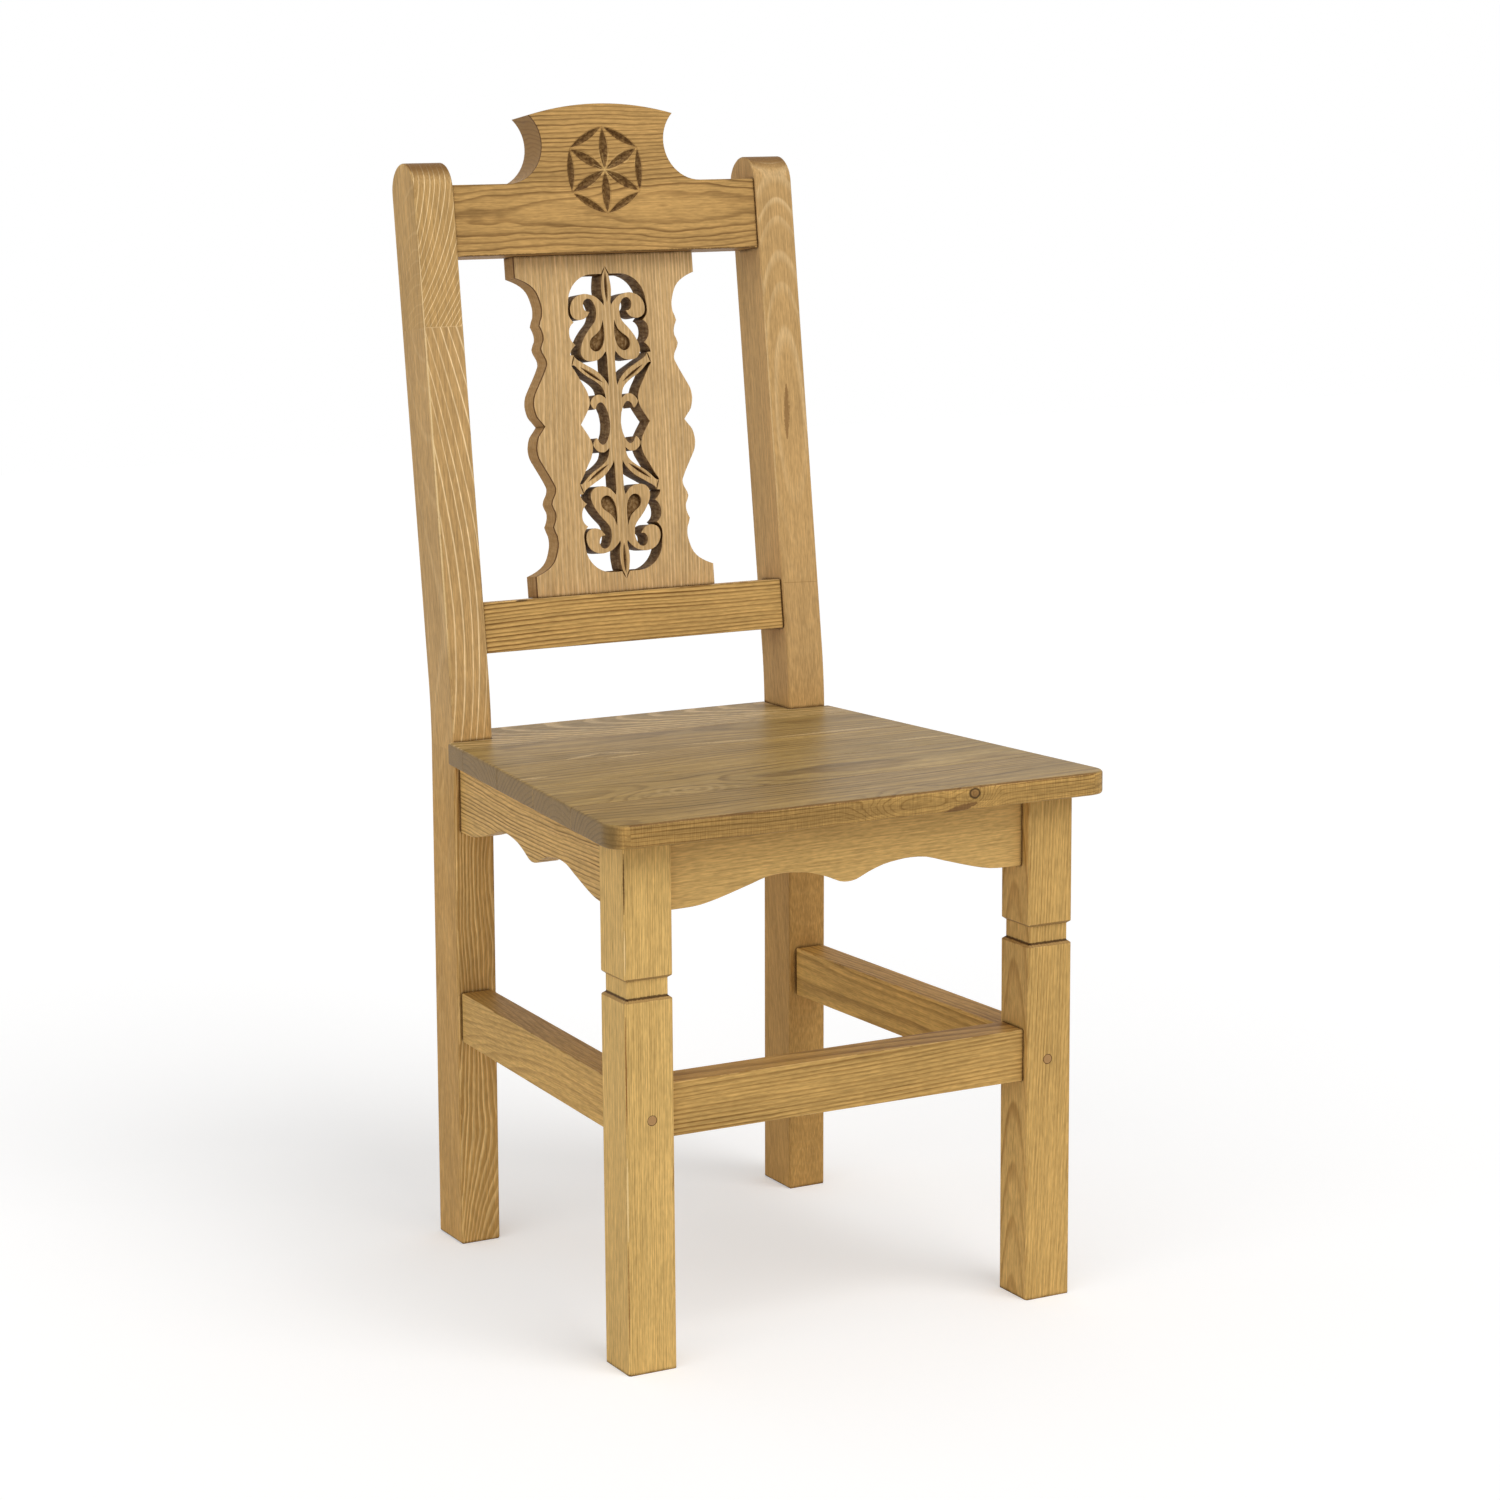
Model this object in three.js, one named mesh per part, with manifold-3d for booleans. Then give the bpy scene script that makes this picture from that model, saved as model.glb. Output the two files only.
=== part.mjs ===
// Pine chair with a pierced and carved back. Millimetres, +Z up, the sitter faces -Y.
// Left and right are as seen from the front. The origin is on the floor, under the middle of the chair.
import * as THREE from "three";
import { mergeVertices } from "three/addons/utils/BufferGeometryUtils.js";
import { ConvexGeometry } from "three/addons/geometries/ConvexGeometry.js";
import Module from "manifold-3d";

const wasm = await Module();
wasm.setup();

// Fits and small allowances
const fitGap = 0.3;             // air round a tenon, a tongue or a screw, and in the leaning back's joints
const cutOverrun = 2;           // how far a cutter runs past the face that it opens

// Front legs
const legSide = 45;
const legArris = 1.5;
const frontWidth = 440;         // over the outside of both front legs
const neckDrop = 115.2;         // from the seat's underside to the top of the cut neck
const neckLength = 20.5;
const neckDepth = 3.35;
const neckSlope = 2.8;          // height of the slanted shoulder above and below the neck

// Seat
const seatHeight = 478.2;
const seatThickness = 20.5;
const seatFrontOverhang = 26.5;
const seatSideOverhang = 20.9;  // past the front legs
const seatRearOverhang = 5.3;   // past the rear posts, at their front faces
const seatCornerRadius = 24;
const seatEdgeRound = 2.5;
const seatTongueLength = 53.4;  // reaches back between the posts, from their front faces
const seatStaveCount = 5;

// Rear posts
const postWidth = 39;
const postDepth = 51;
const postArris = 1.2;
const backWidth = 390;          // over the outside of both posts
const postSetback = 392.6;      // from the legs' front to the posts' front
const postSplay = 5;            // how far the foot stands back
const splayDrop = 37.7;         // below the seat's underside, where the post turns upright
const kinkRise = 25.3;          // above the seat, where the post's front leans back
const bendReach = 35;           // half length of the rounded bend
const rakeAngle = THREE.MathUtils.degToRad(7.41);
const postRakeLength = 476.5;   // from the kink to the centre of the rounded top

// Front and side aprons, with a wavy lower edge
const apronThickness = 22;
const frontApronRecess = 11.7;
const apronDrop = 63.7;         // from the seat's underside to the apron's lowest edge
const archRise = 19.5;          // from the lowest edge to the top of each arch
const sideApronRearInset = 5.5;
const sideApronFrontInset = 10.7;
const rearApronRecess = 14;
const rearApronDrop = 58;

// Stretchers
const frontStretcherBottom = 200.7;
const frontStretcherHeight = 46.7;
const frontStretcherThickness = 33.4;
const frontStretcherRecess = 7.4;
const sideStretcherBottom = 196.3;
const sideStretcherHeight = 46.3;
const sideStretcherThickness = 29.9;
const sideStretcherRearInset = 3;
const sideStretcherFrontInset = 14;
const stretcherTenonShift = 5;  // towards the chair's middle, clear of the screw

// Tenons of the frame below the seat
const tenonThickness = 10;
const tenonSpacing = 2.6;       // wood left between two tenons, or a tenon and a plug, that cross
const tenonShoulder = 7;        // left above and below each tenon

// Back rails, measured up the lean from the kink
const railThickness = 38;
const railRecess = 3.3;
const lowerRailBottom = 53;
const lowerRailHeight = 46.4;
const crestOverPostCentre = 3;  // the shoulders, above the centres of the posts' rounded tops
const crestHeight = 65;         // at the shoulders
const crestNeckHalfWidth = 62.9;
const hornOverhang = 11.1;      // past the neck, on each side
const coveRadius = 36.3;
const crestArchRise = 9.7;      // above the horns
const railTenonThickness = 14;
const railTenonLength = 24;

// Carved rosette on the crest
const rosetteRise = 10.8;       // centre above the crest's shoulders
const rosetteRadius = 40.5;
const petalHalfWidth = 5;
const rimPetalHalfWidth = 4;
const petalDepth = 3;
const petalCount = 6;

// Pierced splat
const splatThickness = 22;
const splatRecess = 18.3;
const splatHalfWidth = 92.5;
const splatWaistShare = 0.714;
const pierceWall = 24;          // between the piercing and the splat's waist
const pierceEndWall = 18.45;    // solid wood above and below the piercing
const tongueThickness = 10;
const tongueHeight = 10;
const tongueInset = 12;         // the tongue stops this short of each edge of the splat
const pocketDepth = 4.5;        // at the round end of each drop-shaped pocket
const pocketTipDepth = 1;
const bridgeSink = 3;           // the low bridges lie this far behind the face
const veinHalfWidth = 1.7;
const veinDepth = 2.2;
const finialVeinHalfWidth = 2.2;
const edgeCutHalfWidth = 0.8;
const edgeCutDepth = 1.2;

// Wooden plugs and screws at the side stretchers
const plugRadius = 4.3;
const plugLength = 11;
const plugFromOutside = 24.1;   // from the leg's outer face to the plug's middle
const screwRadius = 2.5;
const screwHeadRadius = 4;
const screwHeadLength = 3;
const stretcherScrewLength = 88;

// Cleats and screws that hold the seat
const cleatSide = 20;
const cleatEndGap = 14;
const cleatScrewRadius = 2;
const cleatScrewLength = 32;
const cleatScrewInset = 60;     // from the cleat's end

// Counts of facets
const splineSteps = 2;          // between two given points
const arcSteps = 10;
const petalSteps = 8;
const grooveSteps = 4;
const roundSides = 12;

// Worked-out places; y runs back from the legs' front faces
const seatUnderside = seatHeight - seatThickness;
const neckTop = seatUnderside - neckDrop;
const splayHeight = seatUnderside - splayDrop;
const kinkHeight = seatHeight + kinkRise;
const legOuter = frontWidth / 2;
const legInner = legOuter - legSide;
const postOuter = backWidth / 2;
const postInner = postOuter - postWidth;
const postBack = postSetback + postDepth;
const apronBottom = seatUnderside - apronDrop;
const crossTenonLength = legSide - plugFromOutside - plugRadius - tenonSpacing;
const sideTenonLength = legSide - frontApronRecess - (apronThickness + tenonThickness) / 2 - tenonSpacing;
const plugHeight = sideStretcherBottom + sideStretcherHeight / 2;
const crestShoulder = postRakeLength + crestOverPostCentre;
const crestBottom = crestShoulder - crestHeight;
const lowerRailTop = lowerRailBottom + lowerRailHeight;
const splatMiddle = (lowerRailTop + crestBottom) / 2;
const splatHalfHeight = crestBottom - splatMiddle - fitGap;
const pierceHalfWidth = splatHalfWidth * splatWaistShare - pierceWall;
const pierceHalfHeight = splatHalfHeight - pierceEndWall;
const topRadius = postDepth / 2;
const rearmost = postSetback + postRakeLength * Math.sin(rakeAngle) + topRadius * Math.cos(rakeAngle) + topRadius;
const chairMiddle = (rearmost - seatFrontOverhang) / 2;
const quarterTurn = Math.PI / 2;

// Finishes
const finish = (color, roughness) => new THREE.MeshStandardMaterial({ color, roughness, metalness: 0 });
const stainedPine = finish(0xb8904f, 0.45);
const seatPine = finish(0x9a7c55, 0.4);
const endPine = finish(0x9c7550, 0.6);
const rawPine = finish(0xd8b987, 0.8);
const zincSteel = new THREE.MeshStandardMaterial({ color: 0xb9b6a8, roughness: 0.4, metalness: 1 });

const chair = new THREE.Group();
chair.position.y = -chairMiddle;
const leaningBack = new THREE.Group();
leaningBack.position.set(0, postSetback, kinkHeight);
leaningBack.rotation.x = -rakeAngle;
chair.add(leaningBack);
leaningBack.updateMatrix();

const point = (x, y) => new THREE.Vector2(x, y);
const place3 = (x, y, z) => new THREE.Vector3(x, y, z);
const moved = (x, y, z) => new THREE.Matrix4().makeTranslation(x, y, z);

// Where a drawn outline stands: its two axes, then the way it is thickened
const facing = {
  side: new THREE.Matrix4().makeBasis(place3(0, 1, 0), place3(0, 0, 1), place3(1, 0, 0)),
  front: new THREE.Matrix4().makeBasis(place3(1, 0, 0), place3(0, 0, 1), place3(0, -1, 0)),
  top: new THREE.Matrix4(),
};

// A geometry, put through its matrices in turn, as a solid that can be joined and cut
function solidFrom(geometry, ...matrices) {
  const bare = geometry.clone();
  for (const matrix of matrices) bare.applyMatrix4(matrix);
  bare.deleteAttribute("normal");
  bare.deleteAttribute("uv");
  const merged = mergeVertices(bare);
  return new wasm.Manifold(new wasm.Mesh({
    numProp: 3,
    vertProperties: new Float32Array(merged.attributes.position.array),
    triVerts: new Uint32Array(merged.index.array),
  }));
}

function addPiece(group, name, solid, material) {
  const mesh = solid.getMesh();
  const geometry = new THREE.BufferGeometry();
  geometry.setAttribute("position", new THREE.BufferAttribute(new Float32Array(mesh.vertProperties), 3));
  geometry.setIndex(new THREE.BufferAttribute(new Uint32Array(mesh.triVerts), 1));
  geometry.computeVertexNormals();
  const piece = new THREE.Mesh(geometry, material);
  piece.name = name;
  group.add(piece);
}

// A box given by its lowest and highest corners, grown on every side by a margin
function box(low, high, margin = 0, place = new THREE.Matrix4()) {
  const size = high.map((value, axis) => value - low[axis] + margin + margin);
  const middle = high.map((value, axis) => (value + low[axis]) / 2);
  return solidFrom(new THREE.BoxGeometry(...size), moved(...middle), place);
}

// An outline thickened along the third axis of its facing
function slab(outline, thickness, view, ...places) {
  const geometry = new THREE.ExtrudeGeometry(new THREE.Shape(outline), { depth: thickness, bevelEnabled: false });
  return solidFrom(geometry, view, ...places);
}

const mirrored = (points, across, up) => points.map((p) => point(p.x * across, p.y * up));
const backwards = (points) => [...points].reverse();

// Drops a point that repeats the one before it
const repeatShare = 0.001;
function joined(...lists) {
  const points = lists.flat();
  const isNew = (p, i) => p.distanceTo(points[(i + points.length - 1) % points.length]) > cutOverrun * repeatShare;
  return points.filter(isNew);
}

// A smooth run through points given as shares of a half width and a half height
function run(shares, halfWidth, halfHeight) {
  const knots = shares.map(([across, up]) => point(across * halfWidth, up * halfHeight));
  return new THREE.SplineCurve(knots).getPoints(splineSteps * (knots.length - 1));
}

function arcPoints(centreX, centreY, radius, from, to, steps) {
  return new THREE.EllipseCurve(centreX, centreY, radius, radius, from, to, to < from).getPoints(steps);
}

// A rectangle with its four corners cut off
function cutCorners(width, height, cut) {
  const quarter = [point(width / 2 - cut, height / 2), point(width / 2, height / 2 - cut)];
  return fourfold(quarter);
}

// A closed outline from its quarter, which runs from the top to the right
function fourfold(quarter) {
  const right = joined(quarter, backwards(mirrored(quarter, 1, -1)));
  return joined(right, backwards(mirrored(right, -1, 1)));
}

// A round bar along y, from its front end backwards
function rod(radius, length, x, y, z, margin = 0) {
  const geometry = new THREE.CylinderGeometry(radius + margin, radius + margin, length + margin, roundSides);
  return solidFrom(geometry, moved(x, y + (length + margin) / 2, z));
}

// A screw along y with its head at the front end
function screw(length, x, y, z, margin = 0) {
  const shank = rod(screwRadius, length, x, y, z, margin);
  return shank.add(rod(screwHeadRadius, screwHeadLength, x, y, z, margin));
}

// A screw that stands upright with its head at the lower end
function uprightScrew(length, x, y, z, margin = 0) {
  const shank = new THREE.CylinderGeometry(cleatScrewRadius + margin, cleatScrewRadius + margin,
    length + margin, roundSides);
  const head = new THREE.CylinderGeometry(screwHeadRadius + margin, screwHeadRadius + margin,
    screwHeadLength + margin, roundSides);
  shank.rotateX(quarterTurn);
  head.rotateX(quarterTurn);
  const body = solidFrom(shank, moved(x, y, z + (length + margin) / 2));
  return body.add(solidFrom(head, moved(x, y, z + (screwHeadLength + margin) / 2)));
}

// A boat-shaped cut: its rim lies on the front face, its keel runs along the middle, pointed at both ends
const bowShare = Math.cos(Math.PI / 6);
function boatCut(start, end, halfWidth, depth, front, steps) {
  const length = start.distanceTo(end);
  const places = [];
  for (let step = 0; step <= steps; step += 1) {
    const along = step / steps;
    const swell = (Math.sqrt(1 - (along - 1 / 2) ** 2) - bowShare) / (1 - bowShare);
    const wide = halfWidth * swell;
    for (const side of [-wide, wide]) {
      places.push(place3(length * along, -cutOverrun * swell, side), place3(length * along, 0, side));
    }
    places.push(place3(length * along, depth * swell, 0));
  }
  const turn = new THREE.Matrix4().makeRotationY(-Math.atan2(end.y - start.y, end.x - start.x));
  return solidFrom(new ConvexGeometry(places), turn, moved(start.x, front, start.y));
}

// Front legs: a square post with a neck cut round it
function legSolid(sign) {
  const middle = sign * (legOuter - legSide / 2);
  const post = slab(cutCorners(legSide, legSide, legArris), seatUnderside, facing.top, moved(middle, legSide / 2, 0));
  const neckHalf = legSide / 2 - neckDepth;
  const outside = legSide / 2 + cutOverrun;
  const flare = neckSlope * cutOverrun / neckDepth;
  const neckFoot = neckTop - neckLength;
  const ring = new THREE.LatheGeometry([
    point(neckHalf * Math.SQRT2, neckFoot + neckSlope),
    point(outside * Math.SQRT2, neckFoot - flare),
    point(outside * Math.SQRT2, neckTop + flare),
    point(neckHalf * Math.SQRT2, neckTop - neckSlope),
    point(neckHalf * Math.SQRT2, neckFoot + neckSlope),
  ], 4, quarterTurn / 2);
  ring.rotateX(quarterTurn);
  return post.subtract(solidFrom(ring, moved(middle, legSide / 2, 0)));
}
const legs = { left: legSolid(-1), right: legSolid(1) };

// Rear posts: a side outline with a splayed foot, a rounded bend and a half-round top
function postSolid(sign) {
  const upLean = (distance, depth) => point(
    postSetback + Math.sin(rakeAngle) * distance + Math.cos(rakeAngle) * depth,
    kinkHeight + Math.cos(rakeAngle) * distance - Math.sin(rakeAngle) * depth,
  );
  const backDrop = postDepth * Math.tan(rakeAngle / 2);
  const bend = (below, corner, above) => new THREE.QuadraticBezierCurve(below, corner, above).getPoints(arcSteps);
  const frontBend = bend(point(postSetback, kinkHeight - bendReach), point(postSetback, kinkHeight),
    upLean(bendReach, 0));
  const backBend = bend(point(postBack, kinkHeight - backDrop - bendReach), point(postBack, kinkHeight - backDrop),
    upLean(bendReach - backDrop, postDepth));
  const topCentre = upLean(postRakeLength, topRadius);
  const top = arcPoints(topCentre.x, topCentre.y, topRadius, -rakeAngle, Math.PI - rakeAngle, arcSteps + arcSteps);
  const outline = [
    point(postSetback + postSplay, 0),
    point(postBack + postSplay, 0),
    point(postBack, splayHeight),
    ...backBend,
    ...top,
    ...backwards(frontBend),
    point(postSetback, splayHeight),
  ];
  const geometry = new THREE.ExtrudeGeometry(new THREE.Shape(outline), {
    depth: postWidth - postArris - postArris, bevelThickness: postArris, bevelSize: postArris,
    bevelOffset: -postArris, bevelSegments: 1,
  });
  const start = sign < 0 ? -postOuter : postInner;
  return solidFrom(geometry, facing.side, moved(start + postArris, 0, 0));
}
const posts = { left: postSolid(-1), right: postSolid(1) };

// Cuts a mortise in a leg or post and returns the tenon that fills it
function joint(holders, side, low, high, place) {
  holders[side] = holders[side].subtract(box(low, high, fitGap, place));
  return box(low, high);
}

// A tenon that runs outwards across the chair, rooted in its own rail by the overrun
function crossTenon(holders, side, inner, length, front, thickness, bottom, top, place) {
  const reach = [inner - cutOverrun, inner + length];
  const [low, high] = side === "left" ? [-reach[1], -reach[0]] : reach;
  return joint(holders, side, [low, front, bottom], [high, front + thickness, top], place);
}

// A board or rail between two legs or posts, with a tenon at each end
function crossRail(body, holders, inner, length, middle, thickness, bottom, top, place) {
  let rail = body;
  for (const side of ["left", "right"]) {
    rail = rail.add(crossTenon(holders, side, inner, length, middle - thickness / 2, thickness,
      bottom + tenonShoulder, top - tenonShoulder, place));
  }
  return rail;
}

// The wavy lower edge that the aprons share, from their middle outwards: place and rise
const archShares = [
  [0, 0.27], [0.045, 0.32], [0.115, 0.59], [0.2, 0.84], [0.285, 0.96], [0.355, 1], [0.445, 0.94],
  [0.54, 0.69], [0.66, 0.38], [0.77, 0.13], [0.86, 0.02], [1, 0],
];
function archedBoard(length, height) {
  const half = run(archShares, length / 2, archRise);
  return joined(backwards(mirrored(half, -1, 1)), half, [point(length / 2, height), point(-length / 2, height)]);
}

// Front apron
{
  const board = slab(archedBoard(legInner + legInner, apronDrop), apronThickness, facing.front,
    moved(0, frontApronRecess + apronThickness, apronBottom));
  const apron = crossRail(board, legs, legInner, crossTenonLength, frontApronRecess + apronThickness / 2,
    tenonThickness, apronBottom, seatUnderside);
  addPiece(chair, "front_apron", apron, stainedPine);
}

// Rear apron, under the seat: a plain board between the posts
const rearApronFront = postSetback + rearApronRecess;
{
  const bottom = seatUnderside - rearApronDrop;
  const board = box([-postInner, rearApronFront, bottom], [postInner, rearApronFront + apronThickness, seatUnderside]);
  const apron = crossRail(board, posts, postInner, crossTenonLength, rearApronFront + apronThickness / 2,
    tenonThickness, bottom, seatUnderside);
  addPiece(chair, "rear_apron", apron, stainedPine);
}

// Front stretcher
{
  const top = frontStretcherBottom + frontStretcherHeight;
  const back = frontStretcherRecess + frontStretcherThickness;
  const bar = box([-legInner, frontStretcherRecess, frontStretcherBottom], [legInner, back, top]);
  const stretcher = crossRail(bar, legs, legInner, crossTenonLength, frontStretcherRecess + tenonThickness,
    tenonThickness, frontStretcherBottom, top);
  addPiece(chair, "front_stretcher", stretcher, stainedPine);
}

// Side rails run from the leg's back to the post's front, at a slant in plan
const sideRun = postSetback - legSide;
function sideRail(side, outline, thickness, bottom, height, frontInset, rearInset, shift = 0) {
  const sign = side === "left" ? -1 : 1;
  const frontOuter = legOuter - frontInset;
  const rearOuter = postOuter - rearInset;
  const slant = new THREE.Matrix4().makeShear(0, 0, sign * (rearOuter - frontOuter) / sideRun, 0, 0, 0);
  const start = sign < 0 ? -frontOuter : frontOuter - thickness;
  let rail = slab(outline, thickness, facing.side, moved(0, sideRun / 2, 0), slant, moved(start, legSide, bottom));
  const frontMiddle = sign * (frontOuter - thickness / 2 - shift);
  const rearMiddle = sign * (rearOuter - thickness / 2 - shift);
  const half = tenonThickness / 2;
  const low = bottom + tenonShoulder;
  const high = bottom + height - tenonShoulder;
  rail = rail.add(joint(legs, side, [frontMiddle - half, legSide - sideTenonLength, low],
    [frontMiddle + half, legSide + cutOverrun, high]));
  return rail.add(joint(posts, side, [rearMiddle - half, postSetback - cutOverrun, low],
    [rearMiddle + half, postSetback + sideTenonLength, high]));
}

for (const side of ["left", "right"]) {
  const apron = sideRail(side, archedBoard(sideRun, apronDrop), apronThickness, apronBottom, apronDrop,
    sideApronFrontInset, sideApronRearInset);
  addPiece(chair, `side_apron_${side}`, apron, stainedPine);
}

// Side stretchers, each held at the front by a screw under a wooden plug
const plainEdge = [point(-sideRun / 2, 0), point(sideRun / 2, 0),
  point(sideRun / 2, sideStretcherHeight), point(-sideRun / 2, sideStretcherHeight)];
for (const side of ["left", "right"]) {
  const x = (side === "left" ? -1 : 1) * (legOuter - plugFromOutside);
  const screwStart = plugLength + fitGap;
  const hole = screw(stretcherScrewLength, x, plugLength, plugHeight, fitGap);
  const rail = sideRail(side, plainEdge, sideStretcherThickness, sideStretcherBottom, sideStretcherHeight,
    sideStretcherFrontInset, sideStretcherRearInset, stretcherTenonShift);
  addPiece(chair, `side_stretcher_${side}`, rail.subtract(hole), stainedPine);
  const plugHole = rod(plugRadius, plugLength + cutOverrun, x, -cutOverrun, plugHeight, fitGap);
  legs[side] = legs[side].subtract(hole).subtract(plugHole);
  addPiece(chair, `leg_plug_${side}`, rod(plugRadius, plugLength, x, 0, plugHeight), endPine);
  addPiece(chair, `stretcher_screw_${side}`, screw(stretcherScrewLength - fitGap, x, screwStart, plugHeight),
    zincSteel);
}

// Rails of the leaning back. Here x runs across, y into the back and z up the lean.
const railEnd = postInner - fitGap;
const railBack = railRecess + railThickness;
const railMiddle = railRecess + railThickness / 2;
const tongueFront = splatRecess + (splatThickness - tongueThickness) / 2;
function tongue(bottom, top, margin) {
  const half = splatHalfWidth - tongueInset;
  return box([-half, tongueFront, bottom], [half, tongueFront + tongueThickness, top], margin);
}
{
  const bar = box([-railEnd, railRecess, lowerRailBottom], [railEnd, railBack, lowerRailTop]);
  const rail = crossRail(bar, posts, postInner, railTenonLength, railMiddle, railTenonThickness,
    lowerRailBottom, lowerRailTop, leaningBack.matrix);
  const groove = tongue(lowerRailTop - tongueHeight, lowerRailTop + cutOverrun, fitGap);
  addPiece(leaningBack, "lower_back_rail", rail.subtract(groove), stainedPine);
}

// Crest: shoulders, two coves and an arched top, with a six-petalled rosette cut in its face
{
  const coveCentre = crestNeckHalfWidth + coveRadius;
  const coveLevel = crestShoulder + coveRadius;
  const hornHalfWidth = crestNeckHalfWidth + hornOverhang;
  const hornAngle = Math.acos((hornOverhang - coveRadius) / coveRadius);
  const hornLevel = coveLevel + coveRadius * Math.sin(hornAngle);
  const archRadius = (hornHalfWidth ** 2 + crestArchRise ** 2) / (crestArchRise + crestArchRise);
  const spread = Math.asin(hornHalfWidth / archRadius);
  const right = [
    point(railEnd, crestBottom),
    point(railEnd, crestShoulder),
    ...arcPoints(coveCentre, coveLevel, coveRadius, 3 * quarterTurn, hornAngle, arcSteps + arcSteps),
  ];
  const arch = arcPoints(0, hornLevel + crestArchRise - archRadius, archRadius, quarterTurn - spread, quarterTurn + spread,
    arcSteps + arcSteps);
  const outline = joined(right, arch, backwards(mirrored(right, -1, 1)));
  const board = slab(outline, railThickness, facing.front, moved(0, railBack, 0));
  let crest = crossRail(board, posts, postInner, railTenonLength, railMiddle, railTenonThickness,
    crestBottom, crestShoulder, leaningBack.matrix);
  crest = crest.subtract(tongue(crestBottom - cutOverrun, crestBottom + tongueHeight, fitGap));
  const centre = point(0, crestShoulder + rosetteRise);
  const tip = (count) => {
    const angle = quarterTurn + count * 2 * Math.PI / petalCount;
    return point(rosetteRadius * Math.cos(angle), centre.y + rosetteRadius * Math.sin(angle));
  };
  for (let petal = 0; petal < petalCount; petal += 1) {
    crest = crest.subtract(boatCut(centre, tip(petal), petalHalfWidth, petalDepth, railRecess, petalSteps));
    crest = crest.subtract(boatCut(tip(petal), tip(petal + 1), rimPetalHalfWidth, petalDepth, railRecess,
      petalSteps));
  }
  addPiece(leaningBack, "crest_rail", crest, stainedPine);
}

// Splat. Each table gives one quarter of a line as shares: across of the half width, up of the half height.
const splatEdgeShares = [
  [[1, 0.876], [0.919, 0.857], [0.843, 0.831], [0.789, 0.799], [0.757, 0.761], [0.735, 0.717], [0.728, 0.685],
    [0.735, 0.646], [0.751, 0.624], [0.768, 0.592]],
  [[0.768, 0.592], [0.746, 0.564], [0.733, 0.535], [0.735, 0.506], [0.751, 0.487], [0.768, 0.459]],
  [[0.768, 0.459], [0.757, 0.433], [0.724, 0.398], [splatWaistShare, 0.366], [0.73, 0.341], [0.757, 0.309], [0.8, 0.264],
    [0.843, 0.22], [0.876, 0.182], [0.89, 0.14], [0.886, 0.105], [0.865, 0.061], [0.822, 0.029], [0.784, 0]],
];
const pierceEdgeShares = [
  [[0.96, 0.809], [0.976, 0.77], [0.971, 0.734], [0.929, 0.707], [0.857, 0.683]],
  [[0.857, 0.683], [0.917, 0.669], [0.971, 0.644], [0.986, 0.612], [0.971, 0.579], [0.917, 0.55], [0.852, 0.532]],
  [[0.852, 0.532], [0.94, 0.507], [0.988, 0.482], [1.007, 0.446], [1, 0.417], [0.976, 0.388], [0.929, 0.367],
    [0.845, 0.324], [0.75, 0.273], [0.667, 0.23], [0.619, 0.187], [0.6, 0.158], [0.607, 0.137], [0.626, 0.115],
    [0.667, 0.09], [0.738, 0.054], [0.857, 0]],
];
const stemShares = [
  [0, 1.04], [0.048, 1.018], [0.09, 0.978], [0.114, 0.928], [0.119, 0.892], [0.105, 0.849], [0.08, 0.813],
  [0.093, 0.79], [0.124, 0.647], [0.117, 0.482], [0.093, 0.446], [0.093, 0.288], [0.112, 0.248], [0.131, 0.237],
  [0.195, 0.158], [0.202, 0.099], [0.162, 0.068], [0.143, 0.036], [0.131, 0],
];
const scrollShares = [
  [[0.093, 0.79], [0.131, 0.807], [0.226, 0.835], [0.31, 0.853], [0.429, 0.865], [0.56, 0.871], [0.702, 0.861],
    [0.821, 0.838], [0.893, 0.806], [0.921, 0.77], [0.905, 0.734], [0.845, 0.711], [0.762, 0.7], [0.679, 0.698],
    [0.595, 0.705], [0.524, 0.719], [0.45, 0.75]],
  [[0.45, 0.75], [0.524, 0.752], [0.583, 0.77], [0.602, 0.795], [0.579, 0.82], [0.512, 0.837], [0.44, 0.837],
    [0.369, 0.824], [0.321, 0.799], [0.293, 0.773], [0.286, 0.748], [0.293, 0.716], [0.345, 0.68], [0.464, 0.64],
    [0.571, 0.601], [0.655, 0.561], [0.714, 0.522], [0.733, 0.489], [0.714, 0.457], [0.643, 0.432],
    [0.548, 0.421], [0.429, 0.419], [0.321, 0.428], [0.226, 0.446], [0.155, 0.47], [0.117, 0.482]],
  [[0.05, 0.482], [0.05, 0.79]],
];
const leafShares = [
  [[0.112, 0.248], [0.124, 0.263], [0.19, 0.295], [0.286, 0.327], [0.381, 0.353], [0.476, 0.371], [0.595, 0.391],
    [0.714, 0.412], [0.798, 0.426], [0.869, 0.442], [0.917, 0.464]],
  [[1.1, 0.47], [1.1, 0.4]],
  [[0.971, 0.396], [0.94, 0.399], [0.881, 0.388], [0.798, 0.363], [0.714, 0.34], [0.595, 0.315], [0.476, 0.295],
    [0.345, 0.266], [0.25, 0.234], [0.21, 0.194], [0.198, 0.158]],
  [[0.05, 0.158], [0.05, 0.248]],
];
const hookShares = [
  [[0.183, 0.158], [0.226, 0.173], [0.298, 0.189], [0.369, 0.194], [0.464, 0.187], [0.548, 0.165], [0.59, 0.14],
    [0.555, 0.117], [0.512, 0.101], [0.481, 0.096]],
  [[0.481, 0.096], [0.457, 0.11], [0.424, 0.129], [0.362, 0.142], [0.298, 0.139], [0.245, 0.122], [0.202, 0.099]],
  [[0.05, 0.099], [0.05, 0.158]],
];
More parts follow.
